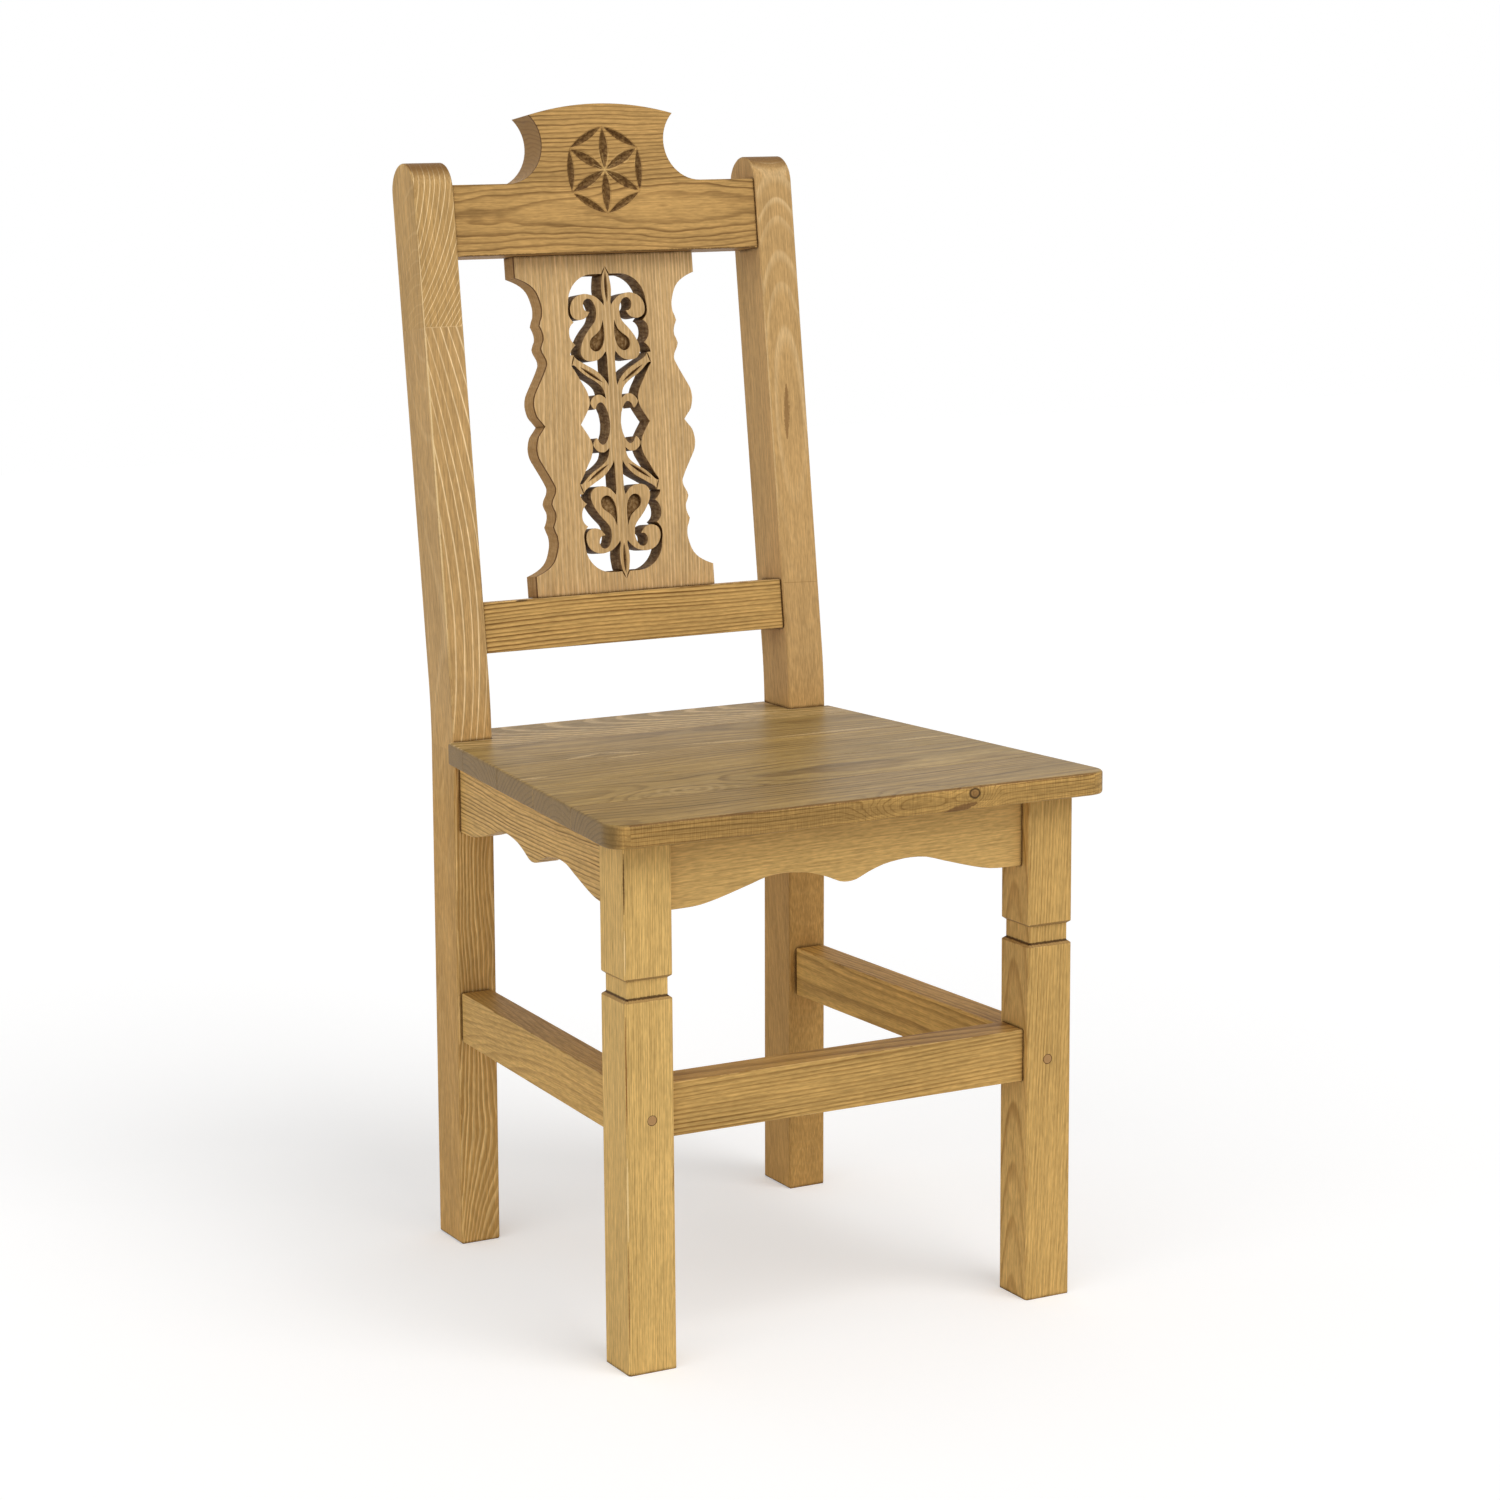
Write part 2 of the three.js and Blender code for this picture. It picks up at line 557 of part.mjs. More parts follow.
const bridgeShares = [
  [[0.8, 0.72], [0.86, 0.8], [1.05, 0.8], [1.05, 0.72]],
  [[0.53, 0.125], [0.53, 0.162], [0.66, 0.162], [0.66, 0.125]],
];
const pocketShares = [
  [0.143, 0.694], [0.171, 0.662], [0.226, 0.629], [0.321, 0.601], [0.429, 0.578], [0.488, 0.554], [0.5, 0.522],
  [0.457, 0.496], [0.369, 0.483], [0.274, 0.489], [0.198, 0.512], [0.15, 0.543], [0.126, 0.583], [0.126, 0.633],
  [0.143, 0.694],
];
const veinShares = [[[0.238, 0.273], [0.786, 0.385]]];
const edgeCutShares = [[[0.12, 0.975], [0, 1.05]], [[0.89, 0.475], [0.985, 0.39]]];
const finialVeinShares = [0.805, 1.02];
{
  const inPierce = (shares) => run(shares, pierceHalfWidth, pierceHalfHeight);
  const closed = (parts) => joined(...parts.map(inPierce));
  const spot = ([across, up]) => point(across * pierceHalfWidth, up * pierceHalfHeight);
  const signs = [[1, 1], [-1, 1], [1, -1], [-1, -1]];
  const back = splatRecess + splatThickness;
  const full = [facing.front, moved(0, back, splatMiddle)];

  const edge = joined([point(splatHalfWidth, splatHalfHeight)],
    ...splatEdgeShares.map((shares) => run(shares, splatHalfWidth, splatHalfHeight)));
  let splat = slab(fourfold(edge), splatThickness, ...full);

  const cornerEnd = spot(pierceEdgeShares[0][0]);
  const cornerRadius = pierceHalfHeight - cornerEnd.y;
  const corner = arcPoints(cornerEnd.x - cornerRadius, cornerEnd.y, cornerRadius, quarterTurn, 0, arcSteps);
  const pierce = joined(corner, ...pierceEdgeShares.map(inPierce));
  splat = splat.subtract(slab(fourfold(pierce), splatThickness + cutOverrun + cutOverrun, facing.front,
    moved(0, back + cutOverrun, splatMiddle)));

  splat = splat.add(slab(fourfold(stemShares.map(spot)), splatThickness, ...full));
  for (const [across, up] of signs) {
    for (const parts of [scrollShares, leafShares, hookShares]) {
      splat = splat.add(slab(mirrored(closed(parts), across, up), splatThickness, ...full));
    }
    for (const shares of bridgeShares) {
      const outline = mirrored(shares.map(spot), across, up);
      splat = splat.add(slab(outline, splatThickness - bridgeSink, ...full));
    }
  }

  const floorSlope = (pocketDepth - pocketTipDepth)
    / ((pocketShares[0][1] - pocketShares[8][1]) * pierceHalfHeight);
  for (const [across, up] of signs) {
    const outline = joined(mirrored(inPierce(pocketShares), across, up));
    const tipLevel = up * pocketShares[0][1] * pierceHalfHeight;
    const tilt = new THREE.Matrix4().makeShear(0, 0, 0, 0, 0, -up * floorSlope);
    splat = splat.subtract(slab(outline, pocketDepth + cutOverrun, facing.front, moved(0, 0, -tipLevel),
      tilt, moved(0, splatRecess + pocketTipDepth, splatMiddle + tipLevel)));
    for (const [start, end] of veinShares) {
      splat = splat.subtract(boatCut(...mirrored([spot(start), spot(end)], across, up)
        .map((p) => point(p.x, p.y + splatMiddle)), veinHalfWidth, veinDepth, splatRecess, grooveSteps));
    }
    for (const [start, end] of edgeCutShares) {
      splat = splat.subtract(boatCut(...mirrored([spot(start), spot(end)], across, up)
        .map((p) => point(p.x, p.y + splatMiddle)), edgeCutHalfWidth, edgeCutDepth, splatRecess, grooveSteps));
    }
  }
  for (const up of [-1, 1]) {
    const [low, high] = finialVeinShares.map((share) => point(0, splatMiddle + up * share * pierceHalfHeight));
    splat = splat.subtract(boatCut(low, high, finialVeinHalfWidth, veinDepth, splatRecess, petalSteps));
  }

  const crestTongue = tongue(splatMiddle, crestBottom + tongueHeight - fitGap, 0);
  const lowerTongue = tongue(lowerRailTop - tongueHeight + fitGap, splatMiddle, 0);
  const headRoom = point(splatHalfWidth, splatEdgeShares[0][0][1] * splatHalfHeight);
  const keepTop = box([-headRoom.x, splatRecess, splatMiddle + headRoom.y],
    [headRoom.x, back, crestBottom + tongueHeight]);
  const keepBottom = box([-headRoom.x, splatRecess, lowerRailTop - tongueHeight],
    [headRoom.x, back, splatMiddle - headRoom.y]);
  splat = splat.add(crestTongue.intersect(keepTop)).add(lowerTongue.intersect(keepBottom));
  addPiece(leaningBack, "back_splat", splat, stainedPine);
}

// Seat: one rounded outline, notched round the posts and sawn into staves that run across
{
  const halfAt = (y) => THREE.MathUtils.lerp(legOuter + seatSideOverhang, postOuter + seatRearOverhang,
    y / postSetback);
  const seatBack = postSetback + seatTongueLength;
  const frontHalf = halfAt(-seatFrontOverhang);
  const corner = new THREE.QuadraticBezierCurve(
    point(frontHalf - seatCornerRadius, -seatFrontOverhang),
    point(frontHalf, -seatFrontOverhang),
    point(halfAt(seatCornerRadius - seatFrontOverhang), seatCornerRadius - seatFrontOverhang),
  ).getPoints(arcSteps);
  const right = [...corner, point(halfAt(seatBack), seatBack)];
  const outline = joined(right, backwards(mirrored(right, -1, 1)));
  const geometry = new THREE.ExtrudeGeometry(new THREE.Shape(outline), {
    depth: seatThickness - seatEdgeRound - seatEdgeRound, bevelThickness: seatEdgeRound,
    bevelSize: seatEdgeRound, bevelOffset: -seatEdgeRound, bevelSegments: 3,
  });
  let seat = solidFrom(geometry, moved(0, 0, seatUnderside + seatEdgeRound));
  for (const sign of [-1, 1]) {
    const reach = [postInner, legOuter + seatSideOverhang];
    const [low, high] = sign < 0 ? [-reach[1], -reach[0]] : reach;
    seat = seat.subtract(box([low, postSetback, seatUnderside - cutOverrun],
      [high, seatBack + cutOverrun, seatHeight + cutOverrun], fitGap));
  }

  const cleatRows = [
    { name: "front", half: legInner - cleatEndGap, front: frontApronRecess + apronThickness },
    { name: "rear", half: postInner - cleatEndGap, front: rearApronFront - cleatSide },
  ];
  const cleatBottom = seatUnderside - cleatSide;
  for (const row of cleatRows) {
    let cleat = box([-row.half, row.front, cleatBottom], [row.half, row.front + cleatSide, seatUnderside]);
    for (const [side, sign] of [["left", -1], ["right", 1]]) {
      const x = sign * (row.half - cleatScrewInset);
      const y = row.front + cleatSide / 2;
      const hole = uprightScrew(cleatScrewLength + cutOverrun, x, y, cleatBottom - cutOverrun, fitGap);
      const headRecess = uprightScrew(cleatScrewLength, x, y, cleatBottom, fitGap);
      cleat = cleat.subtract(hole).subtract(headRecess);
      seat = seat.subtract(hole);
      addPiece(chair, `seat_screw_${row.name}_${side}`, uprightScrew(cleatScrewLength, x, y, cleatBottom), zincSteel);
    }
    addPiece(chair, `seat_cleat_${row.name}`, cleat, rawPine);
  }

  const staveWidth = (seatBack + seatFrontOverhang) / seatStaveCount;
  for (let stave = 0; stave < seatStaveCount; stave += 1) {
    const front = stave * staveWidth - seatFrontOverhang;
    const piece = seat.intersect(box([-frontHalf, front, seatUnderside], [frontHalf, front + staveWidth, seatHeight]));
    addPiece(chair, `seat_stave_${stave + 1}`, piece, seatPine);
  }
}

for (const side of ["left", "right"]) {
  addPiece(chair, `front_leg_${side}`, legs[side], stainedPine);
  addPiece(chair, `rear_post_${side}`, posts[side], stainedPine);
}

export default chair;
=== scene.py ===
"""Pine chair with a pierced and carved back: fine edges, stained finish, floor, light and camera."""
import logging
import math
from dataclasses import dataclass
from enum import Enum
from functools import cache, partial, reduce
from typing import NamedTuple, Optional, Sequence, Union

import bpy
from mathutils import Matrix, Vector


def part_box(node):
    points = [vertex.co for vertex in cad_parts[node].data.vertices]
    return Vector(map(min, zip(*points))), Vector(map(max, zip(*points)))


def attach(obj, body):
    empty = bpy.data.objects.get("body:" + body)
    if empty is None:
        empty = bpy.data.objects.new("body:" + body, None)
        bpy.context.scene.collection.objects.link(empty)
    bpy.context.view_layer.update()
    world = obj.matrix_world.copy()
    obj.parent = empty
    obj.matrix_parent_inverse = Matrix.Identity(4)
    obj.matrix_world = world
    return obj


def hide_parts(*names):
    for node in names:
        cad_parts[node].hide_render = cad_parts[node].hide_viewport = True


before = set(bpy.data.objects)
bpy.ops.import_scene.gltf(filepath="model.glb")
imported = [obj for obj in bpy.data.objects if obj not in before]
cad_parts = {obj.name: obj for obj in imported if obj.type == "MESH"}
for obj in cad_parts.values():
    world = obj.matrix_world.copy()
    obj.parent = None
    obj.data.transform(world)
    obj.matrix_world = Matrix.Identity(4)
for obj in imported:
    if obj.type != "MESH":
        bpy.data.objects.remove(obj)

LOG = logging.getLogger("chair")
MM = 0.001
BODY = "root"

Socket = bpy.types.NodeSocket
Tree = bpy.types.NodeTree
Thing = bpy.types.Object
Feed = Union[Socket, float, Sequence[float]]
Feeds = Union[Sequence[Feed], dict[Union[int, str], Feed]]
Colour = tuple[float, float, float]
Place = tuple[float, float, float]
Pair = tuple[float, float]

# Places and directions that the carpentry below shares, in metres, in the chair's own frame
FRONT_Y = -0.23917
KINK = Vector((0, FRONT_Y + 0.3926, 0.5035))
RAKE = math.radians(7.41)
UP_LEAN = Vector((0, math.sin(RAKE), math.cos(RAKE)))
INTO_BACK = Vector((0, math.cos(RAKE), -math.sin(RAKE)))

# A tint or a stretch that changes nothing
PLAIN = (1, 1, 1)

# Where a soft step begins and ends: on a noise, on a noise with more contrast, on the cosine between a
# surface and the way it should face, for flats and for end grain, and on the height where a post's foot ends
NOISE_BAND: Pair = (0.25, 0.75)
CRISP_BAND: Pair = (0.3, 0.7)
FACING_BAND: Pair = (0.6, 0.95)
FLAT_BAND: Pair = (0.3, 0.8)
END_BAND: Pair = (0.35, 0.9)
FOOT_BAND: Pair = (0.4, 0.53)


class Noise(NamedTuple):
    """A noise in the wood: its scales across and along the grain, per metre, its detail and roughness."""

    across: float
    along: float
    detail: float = 1.0
    roughness: float = 0.5


WANDER = Noise(9, 3.2)
RIPPLE = Noise(70, 24, 1.5)
PATCH = Noise(30, 6)
FIBRE = Noise(1000, 26, 2, 0.6)
CLOUD = Noise(24, 5, 2)
SPECK = Noise(620, 110, 1, 0.6)
STREAK = Noise(90, 3, 4, 0.7)


class Facing(Enum):
    """The side of a board that shows, and that its log bows away from."""

    FRONT = (0, -1, 0)
    LEFT = (-1, 0, 0)
    SKY = (0, 0, 1)


class Side(Enum):
    """A piece's side of the chair, as the one who stands in front of it sees it."""

    LEFT = "left"
    RIGHT = "right"


def in_chair(x_mm: float, y_mm: float, z_mm: float) -> Place:
    """Returns a place measured in mm back from the legs' front faces, in the chair's own frame."""
    return x_mm * MM, FRONT_Y + y_mm * MM, z_mm * MM


def in_back(x_mm: float, depth_mm: float, up_mm: float) -> Place:
    """Returns a place measured in mm across, into and up the leaning back, in the chair's own frame."""
    return tuple(KINK + Vector((x_mm * MM, 0, 0)) + INTO_BACK * (depth_mm * MM) + UP_LEAN * (up_mm * MM))


def lean(x_share: float = 0) -> Place:
    """Returns the way up the leaning back, tilted across by a share."""
    return tuple(UP_LEAN + Vector((x_share, 0, 0)))


def straighten(value: float) -> float:
    """Undoes the display curve of one channel, 0 to 255."""
    part = value / 255.0
    return part / 12.92 if part <= 0.04045 else ((part + 0.055) / 1.055) ** 2.4


def shade(red: float, green: float, blue: float) -> Colour:
    """Returns a colour for the shaders from its display values, 0 to 255."""
    return straighten(red), straighten(green), straighten(blue)


def tinted(colour: Colour, tint: Colour) -> Colour:
    """Returns one colour times another."""
    return tuple(part * share for part, share in zip(colour, tint))


class Wiring:
    """Adds shader nodes to one tree and joins them up."""

    def __init__(self, tree: Tree) -> None:
        """Keeps the tree that the nodes go into."""
        self.tree = tree

    def feed(self, socket: Socket, value: Feed) -> None:
        """Links a socket, or sets its own value where the feed is a plain number or colour.

        Args:
            socket: The input to feed.
            value: The output, number, vector or colour that it gets.
        """
        if isinstance(value, Socket):
            self.tree.links.new(value, socket)
        elif isinstance(value, (int, float)):
            socket.default_value = value
        else:
            socket.default_value = (*value, 1)[:len(socket.default_value)]

    def node(self, kind: str, feeds: Feeds = (), **settings: object) -> bpy.types.Node:
        """Adds one node.

        Args:
            kind: The node's type name.
            feeds: What its inputs get, by name or number, or in their order.
            settings: Properties to set on it.

        Returns:
            The new node.
        """
        made = self.tree.nodes.new(kind)
        for name, value in settings.items():
            setattr(made, name, value)
        for slot, value in feeds.items() if isinstance(feeds, dict) else enumerate(feeds):
            self.feed(made.inputs[slot], value)
        return made

    def use(self, tree: Tree, **values: Feed) -> Sequence[Socket]:
        """Places a node group, fed by name with _ for a space, and returns its outputs."""
        named = {name.replace("_", " "): value for name, value in values.items()}
        return self.node("ShaderNodeGroup", named, node_tree=tree).outputs

    def math(self, operation: str, *values: Feed) -> Socket:
        """Returns the result of a Math node."""
        return self.node("ShaderNodeMath", values, operation=operation).outputs[0]

    def plus(self, *values: Feed) -> Feed:
        """Returns the sum of some numbers."""
        return reduce(partial(self.math, "ADD"), values)

    def minus(self, first: Feed, second: Feed) -> Socket:
        """Returns one number less another."""
        return self.math("SUBTRACT", first, second)

    def times(self, *values: Feed) -> Feed:
        """Returns the product of some numbers."""
        return reduce(partial(self.math, "MULTIPLY"), values)

    def sway(self, noise: Socket, reach: Feed) -> Feed:
        """Returns a noise turned into a swing about 0, as wide as the reach."""
        return self.times(self.minus(noise, 0.5), reach)

    def vector(self, operation: str, *values: Feed) -> Socket:
        """Returns the result of a Vector Math node."""
        made = self.node("ShaderNodeVectorMath", values, operation=operation)
        return made.outputs["Value" if operation in ("DOT_PRODUCT", "LENGTH") else "Vector"]

    def gap(self, place: Feed, start: Feed) -> Socket:
        """Returns the way from a start to a place."""
        return self.vector("SUBTRACT", place, start)

    def dot(self, first: Feed, second: Feed) -> Socket:
        """Returns the dot product of two vectors."""
        return self.vector("DOT_PRODUCT", first, second)

    def scale(self, value: Feed, factor: Feed) -> Socket:
        """Returns a vector times a number."""
        feeds = {0: value, "Scale": factor}
        return self.node("ShaderNodeVectorMath", feeds, operation="SCALE").outputs["Vector"]

    def split(self, value: Socket) -> Sequence[Socket]:
        """Returns the three parts of a vector."""
        return self.node("ShaderNodeSeparateXYZ", [value]).outputs

    def join(self, x: Feed, y: Feed, z: Feed) -> Socket:
        """Returns a vector made of three parts."""
        return self.node("ShaderNodeCombineXYZ", (x, y, z)).outputs[0]

    def noise(self, place: Feed, scale: float, detail: float = 2, roughness: float = 0.5) -> Socket:
        """Returns a smooth noise from 0 to 1 over a vector."""
        feeds = {"Vector": place, "Scale": scale, "Detail": detail, "Roughness": roughness}
        return self.node("ShaderNodeTexNoise", feeds).outputs[0]

    def ramp(self, value: Feed, low: Feed, high: Feed, start: Feed = 0, end: Feed = 1) -> Socket:
        """Returns a soft step of a value, from start at low to end at high."""
        feeds = (value, low, high, start, end)
        return self.node("ShaderNodeMapRange", feeds, interpolation_type="SMOOTHSTEP").outputs[0]

    def fade(self, value: Feed, low: Feed, high: Feed) -> Socket:
        """Returns a soft step down, from 1 at low to 0 at high."""
        return self.ramp(value, low, high, 1, 0)

    def mix(self, share: Feed, first: Feed, second: Feed, blend: str = "MIX") -> Socket:
        """Returns a mix of two colours."""
        feeds = {0: share, 6: first, 7: second}
        return self.node("ShaderNodeMix", feeds, data_type="RGBA", blend_type=blend).outputs[2]

    def between(self, share: Feed, first: Feed, second: Feed) -> Socket:
        """Returns a mix of two numbers."""
        return self.node("ShaderNodeMix", {0: share, 2: first, 3: second}).outputs[0]


class ShaderGroup:
    """A node group with named sockets, built once and placed in many finishes."""

    def __init__(self, name: str, vectors: str, numbers: str, results: str) -> None:
        """Makes the empty group.

        Args:
            name: The group's name.
            vectors: Names of the vector inputs, with commas between them.
            numbers: Names of the number inputs.
            results: Names of the outputs, all numbers.
        """
        self.tree = bpy.data.node_groups.new(name, "ShaderNodeTree")
        for names, way, kind in ((vectors, "INPUT", "Vector"), (numbers, "INPUT", "Float"),
                                 (results, "OUTPUT", "Float")):
            for socket in names.split(", ") if names else ():
                self.tree.interface.new_socket(socket, in_out=way, socket_type=f"NodeSocket{kind}")
        self.wire = Wiring(self.tree)
        self.given = self.wire.node("NodeGroupInput").outputs

    def finish(self, *results: Feed) -> Tree:
        """Feeds the outputs in their order and returns the group."""
        self.wire.node("NodeGroupOutput", results)
        return self.tree


@cache
def growth_group() -> Tree:
    """Builds the year rings and fibres of a board, measured from the heart of the log.

    Returns:
        The group. Its vector runs across the log in X and Y and along the grain in Z, in metres. A bowed
        log curves away along Y to both sides of its middle.
    """
    seed_steps = (7.31, 3.17, 5.73)
    width_swing, width_step, year_step = 1.3, 0.37, 3.7
    line_full, line_fall = 0.86, 0.88
    weak_years, weak_patches = (0.28, 0.68, 0.4, 1), (0.25, 0.7, 0.55, 1)
    late_relief, fibre_relief = 0.4, 0.6
    group = ShaderGroup("pine_growth", "Vector", "Ring Width, Wander, Ripple, Bow, Line Start, Seed, Push",
                        "Late Wood, Fibre, Cloud, Speck, Streak, Height")
    wire, given = group.wire, group.given
    shift = wire.scale(seed_steps, given["Seed"])

    def grown(noise: Noise) -> Socket:
        """Returns a noise in the log, shifted by the seed."""
        place = wire.vector("MULTIPLY", given["Vector"], (noise.across, noise.across, noise.along))
        return wire.noise(wire.vector("ADD", place, shift), 1, noise.detail, noise.roughness)

    def yearly(year: Socket, layer: float, detail: float) -> Socket:
        """Returns a noise over the years, its own for each layer."""
        return wire.noise(wire.join(year, given["Seed"], layer), 1, detail)

    x, y, z = wire.split(given["Vector"])
    bowed = wire.plus(y, wire.times(z, z, given["Bow"]))
    radius = wire.math("SQRT", wire.plus(wire.times(x, x), wire.times(bowed, bowed)))
    radius = wire.plus(radius, wire.sway(grown(WANDER), given["Wander"]),
                       wire.sway(grown(RIPPLE), given["Ripple"]), given["Push"])
    count = wire.math("DIVIDE", radius, given["Ring Width"])
    count = wire.plus(count, wire.times(yearly(wire.times(count, width_step), 0, 1), width_swing))
    phase = wire.math("FRACT", count)
    line = wire.times(wire.ramp(phase, given["Line Start"], line_full), wire.fade(phase, line_fall, 1))
    year = yearly(wire.times(wire.math("FLOOR", count), year_step), 2, 0)
    late = wire.times(line, wire.ramp(year, *weak_years), wire.ramp(grown(PATCH), *weak_patches))
    fibre = grown(FIBRE)
    height = wire.plus(wire.times(late, late_relief), wire.times(fibre, fibre_relief))
    return group.finish(late, fibre, grown(CLOUD), grown(SPECK), grown(STREAK), height)


@cache
def knot_group() -> Tree:
    """Builds a knot: rings that bend round it, its dark core, its rim and its own fine rings.

    Returns:
        The group. Centre and Radius are in metres, in the chair's own frame.
    """
    raggedness, rag_scale, rim_sharpness, rings_per_radius = 0.4, 0.9, 3, 2.6
    bend_band, core_band, swirl_band, ring_band = (0.8, 6), (0.8, 1.1), (1, 3.5), (0.3, 0.9)
    group = ShaderGroup("pine_knot", "Vector, Centre, Stretch", "Radius, Bend", "Push, Core, Rim, Swirl")
    wire, given = group.wire, group.given
    offset = wire.vector("MULTIPLY", wire.gap(given["Vector"], given["Centre"]), given["Stretch"])
    rough = wire.noise(wire.scale(offset, wire.math("DIVIDE", 1, given["Radius"])), rag_scale, 1)
    away = wire.math("DIVIDE", wire.vector("LENGTH", offset), given["Radius"])
    away = wire.plus(away, wire.sway(rough, raggedness))
    rim = wire.minus(1, wire.times(wire.math("ABSOLUTE", wire.minus(away, 1)), rim_sharpness))
    ring = wire.ramp(wire.math("PINGPONG", wire.times(away, rings_per_radius), 1), *ring_band)
    return group.finish(wire.times(wire.fade(away, *bend_band), given["Bend"]), wire.fade(away, *core_band),
                        wire.math("MAXIMUM", rim, 0), wire.times(ring, wire.fade(away, *swirl_band)))


@cache
def stroke_group() -> Tree:
    """Builds one long mark from a start to an end, such as a check, a resin streak or a glue line.

    Returns:
        The group. Width is half the mark's width in metres, and Taper narrows its ends.
    """
    rags_per_metre, middle_width, edge_band = 420, 1.02, (0.45, 1.05)
    group = ShaderGroup("wood_stroke", "Vector, Start, End", "Width, Ragged, Taper", "Mark")
    wire, given = group.wire, group.given
    span, offset = wire.gap(given["End"], given["Start"]), wire.gap(given["Vector"], given["Start"])
    along = wire.math("DIVIDE", wire.dot(offset, span), wire.dot(span, span))
    along = wire.math("MINIMUM", wire.math("MAXIMUM", along, 0), 1)
    away = wire.vector("LENGTH", wire.gap(offset, wire.scale(span, along)))
    middle = wire.minus(wire.times(along, 2), 1)
    width = wire.minus(middle_width, wire.times(middle, middle, given["Taper"]))
    rough = wire.noise(given["Vector"], rags_per_metre, 2, 0.6)
    share = wire.math("DIVIDE", away, wire.times(given["Width"], width))
    share = wire.plus(share, wire.sway(rough, given["Ragged"]))
    return group.finish(wire.fade(share, *edge_band))


@cache
def recess_stain_and_shade_group() -> Tree:
    """Builds the darkening where pieces meet: stain in the joints, and painted shade where other surfaces
    close a place in.

    Returns:
        The group. Reach is how far off the other piece may be, in metres.
    """
    patches_per_metre, raggedness = 70, 0.2
    close_reach, close_band, wide_step = 0.6, (0.25, 0.4), (0.3, 0.62, 0, 0.4)
    group = ShaderGroup("stain_and_shade_in_recess", "Vector", "Reach, Seed", "Share")
    wire, given = group.wire, group.given
    place = wire.vector("ADD", given["Vector"], wire.join(given["Seed"], 0, 0))
    ragged = wire.sway(wire.noise(place, patches_per_metre), raggedness)

    # painted shade: the nearer other surfaces stand round a place, the darker it is made
    def closed_in(reach: Feed) -> Feed:
        """Returns how far a place is closed in by what stands within reach."""
        room = wire.node("ShaderNodeAmbientOcclusion", {"Distance": reach}, samples=6).outputs["AO"]
        return wire.plus(wire.minus(1, room), ragged)

    wide = wire.ramp(closed_in(given["Reach"]), *wide_step)
    close = wire.ramp(closed_in(wire.times(given["Reach"], close_reach)), *close_band)
    return group.finish(wire.math("MAXIMUM", wide, close))


@cache
def carving_stain_and_shade_group() -> Tree:
    """Builds the darkening behind the face that the carving was cut from: stain held in the cuts, and painted
    shade on the walls deep in the narrow piercings.

    Returns:
        The group. Inside is the share on cuts near the carving's middle, Outside on the sawn outline, and
        Line on the outline's first few millimetres behind the face.
    """
    face, line_band, line_depths = 0.0003, (0.0001, 0.0005), (1.6, 3.4)
    back_band, middle_band = (0.4, 0.85), (0.94, 1.06)
    streaks_per_metre, streak_step = (330, 90, 330), (0.3, 0.72, 1, 0.55)
    group = ShaderGroup("stain_and_shade_in_carving", "Vector, Normal, Origin, Inward, Middle, Spread", "Depth",
                        "Inside, Outside, Line")
    wire, given = group.wire, group.given
    depth = wire.dot(wire.gap(given["Vector"], given["Origin"]), given["Inward"])
    not_back = wire.fade(wire.dot(given["Normal"], given["Inward"]), *back_band)
    spread = wire.vector("MULTIPLY", wire.gap(given["Vector"], given["Middle"]), given["Spread"])
    inner = wire.fade(wire.vector("LENGTH", spread), *middle_band)
    outer = wire.minus(1, inner)
    streak = wire.noise(wire.vector("MULTIPLY", given["Vector"], streaks_per_metre), 1, 3, 0.6)
    share = wire.times(wire.ramp(depth, face, given["Depth"]), not_back, wire.ramp(streak, *streak_step))
    line = wire.fade(depth, *(wire.times(given["Depth"], part) for part in line_depths))
    line = wire.times(line, wire.ramp(depth, *line_band), not_back, outer)
    return group.finish(wire.times(share, inner), wire.times(share, outer), line)


@dataclass(frozen=True)
class Growth:
    """Where a board was cut from its log, in the chair's frame.

    The heart is the middle of the log's own middle line, and grain is that line's direction. The log may bow
    away from the side that toward names, which closes the rings into long ovals there.
    """

    heart: Place
    grain: Place
    toward: Facing = Facing.FRONT
    ring_width: float = 0.0032
    wander: float = 0.02
    ripple: float = 0.0012
    bow: float = 0.0
    line_start: float = 0.25
    seed: float = 1.0

    def along(self) -> Vector:
        """Returns the grain's direction, at a length of 1."""
        return Vector(self.grain).normalized()

    def mapping(self) -> tuple[Vector, Sequence[float]]:
        """Works out how the chair's frame is moved and turned into the log's frame.

        Returns:
            The location and the Euler turn for a Mapping node.
        """
        along = self.along()
        toward = Vector(self.toward.value)
        toward = (toward - along * toward.dot(along)).normalized()
        turn = Matrix((toward.cross(along), toward, along))
        return -(turn @ Vector(self.heart)), turn.to_euler("XYZ")


class Grain(NamedTuple):
    """The sockets that one growth puts out, in their order."""

    late: Socket
    fibre: Socket
    cloud: Socket
    speck: Socket
    streak: Socket
    height: Socket


@dataclass(frozen=True)
class Spliced:
    """A second length of wood, finger-jointed on above a plane."""

    growth: Growth
    joint: Place
    upward: Place
    tint: Colour = PLAIN


@dataclass(frozen=True)
class Knot:
    """One knot on a board's surface."""

    centre: Place
    radius: float
    stretch: Place = PLAIN
    bend: float = 0.006
    core: float = 1.0
    swirl: Optional[Colour] = None
    swirl_share: float = 0.4


@dataclass(frozen=True)
class Mark:
    """One long mark on the surface, half its width given."""

    start: Place
    end: Place
    width: float
    colour: Colour
    strength: float = 0.8
    ragged: float = 0.8
    taper: float = 0.7


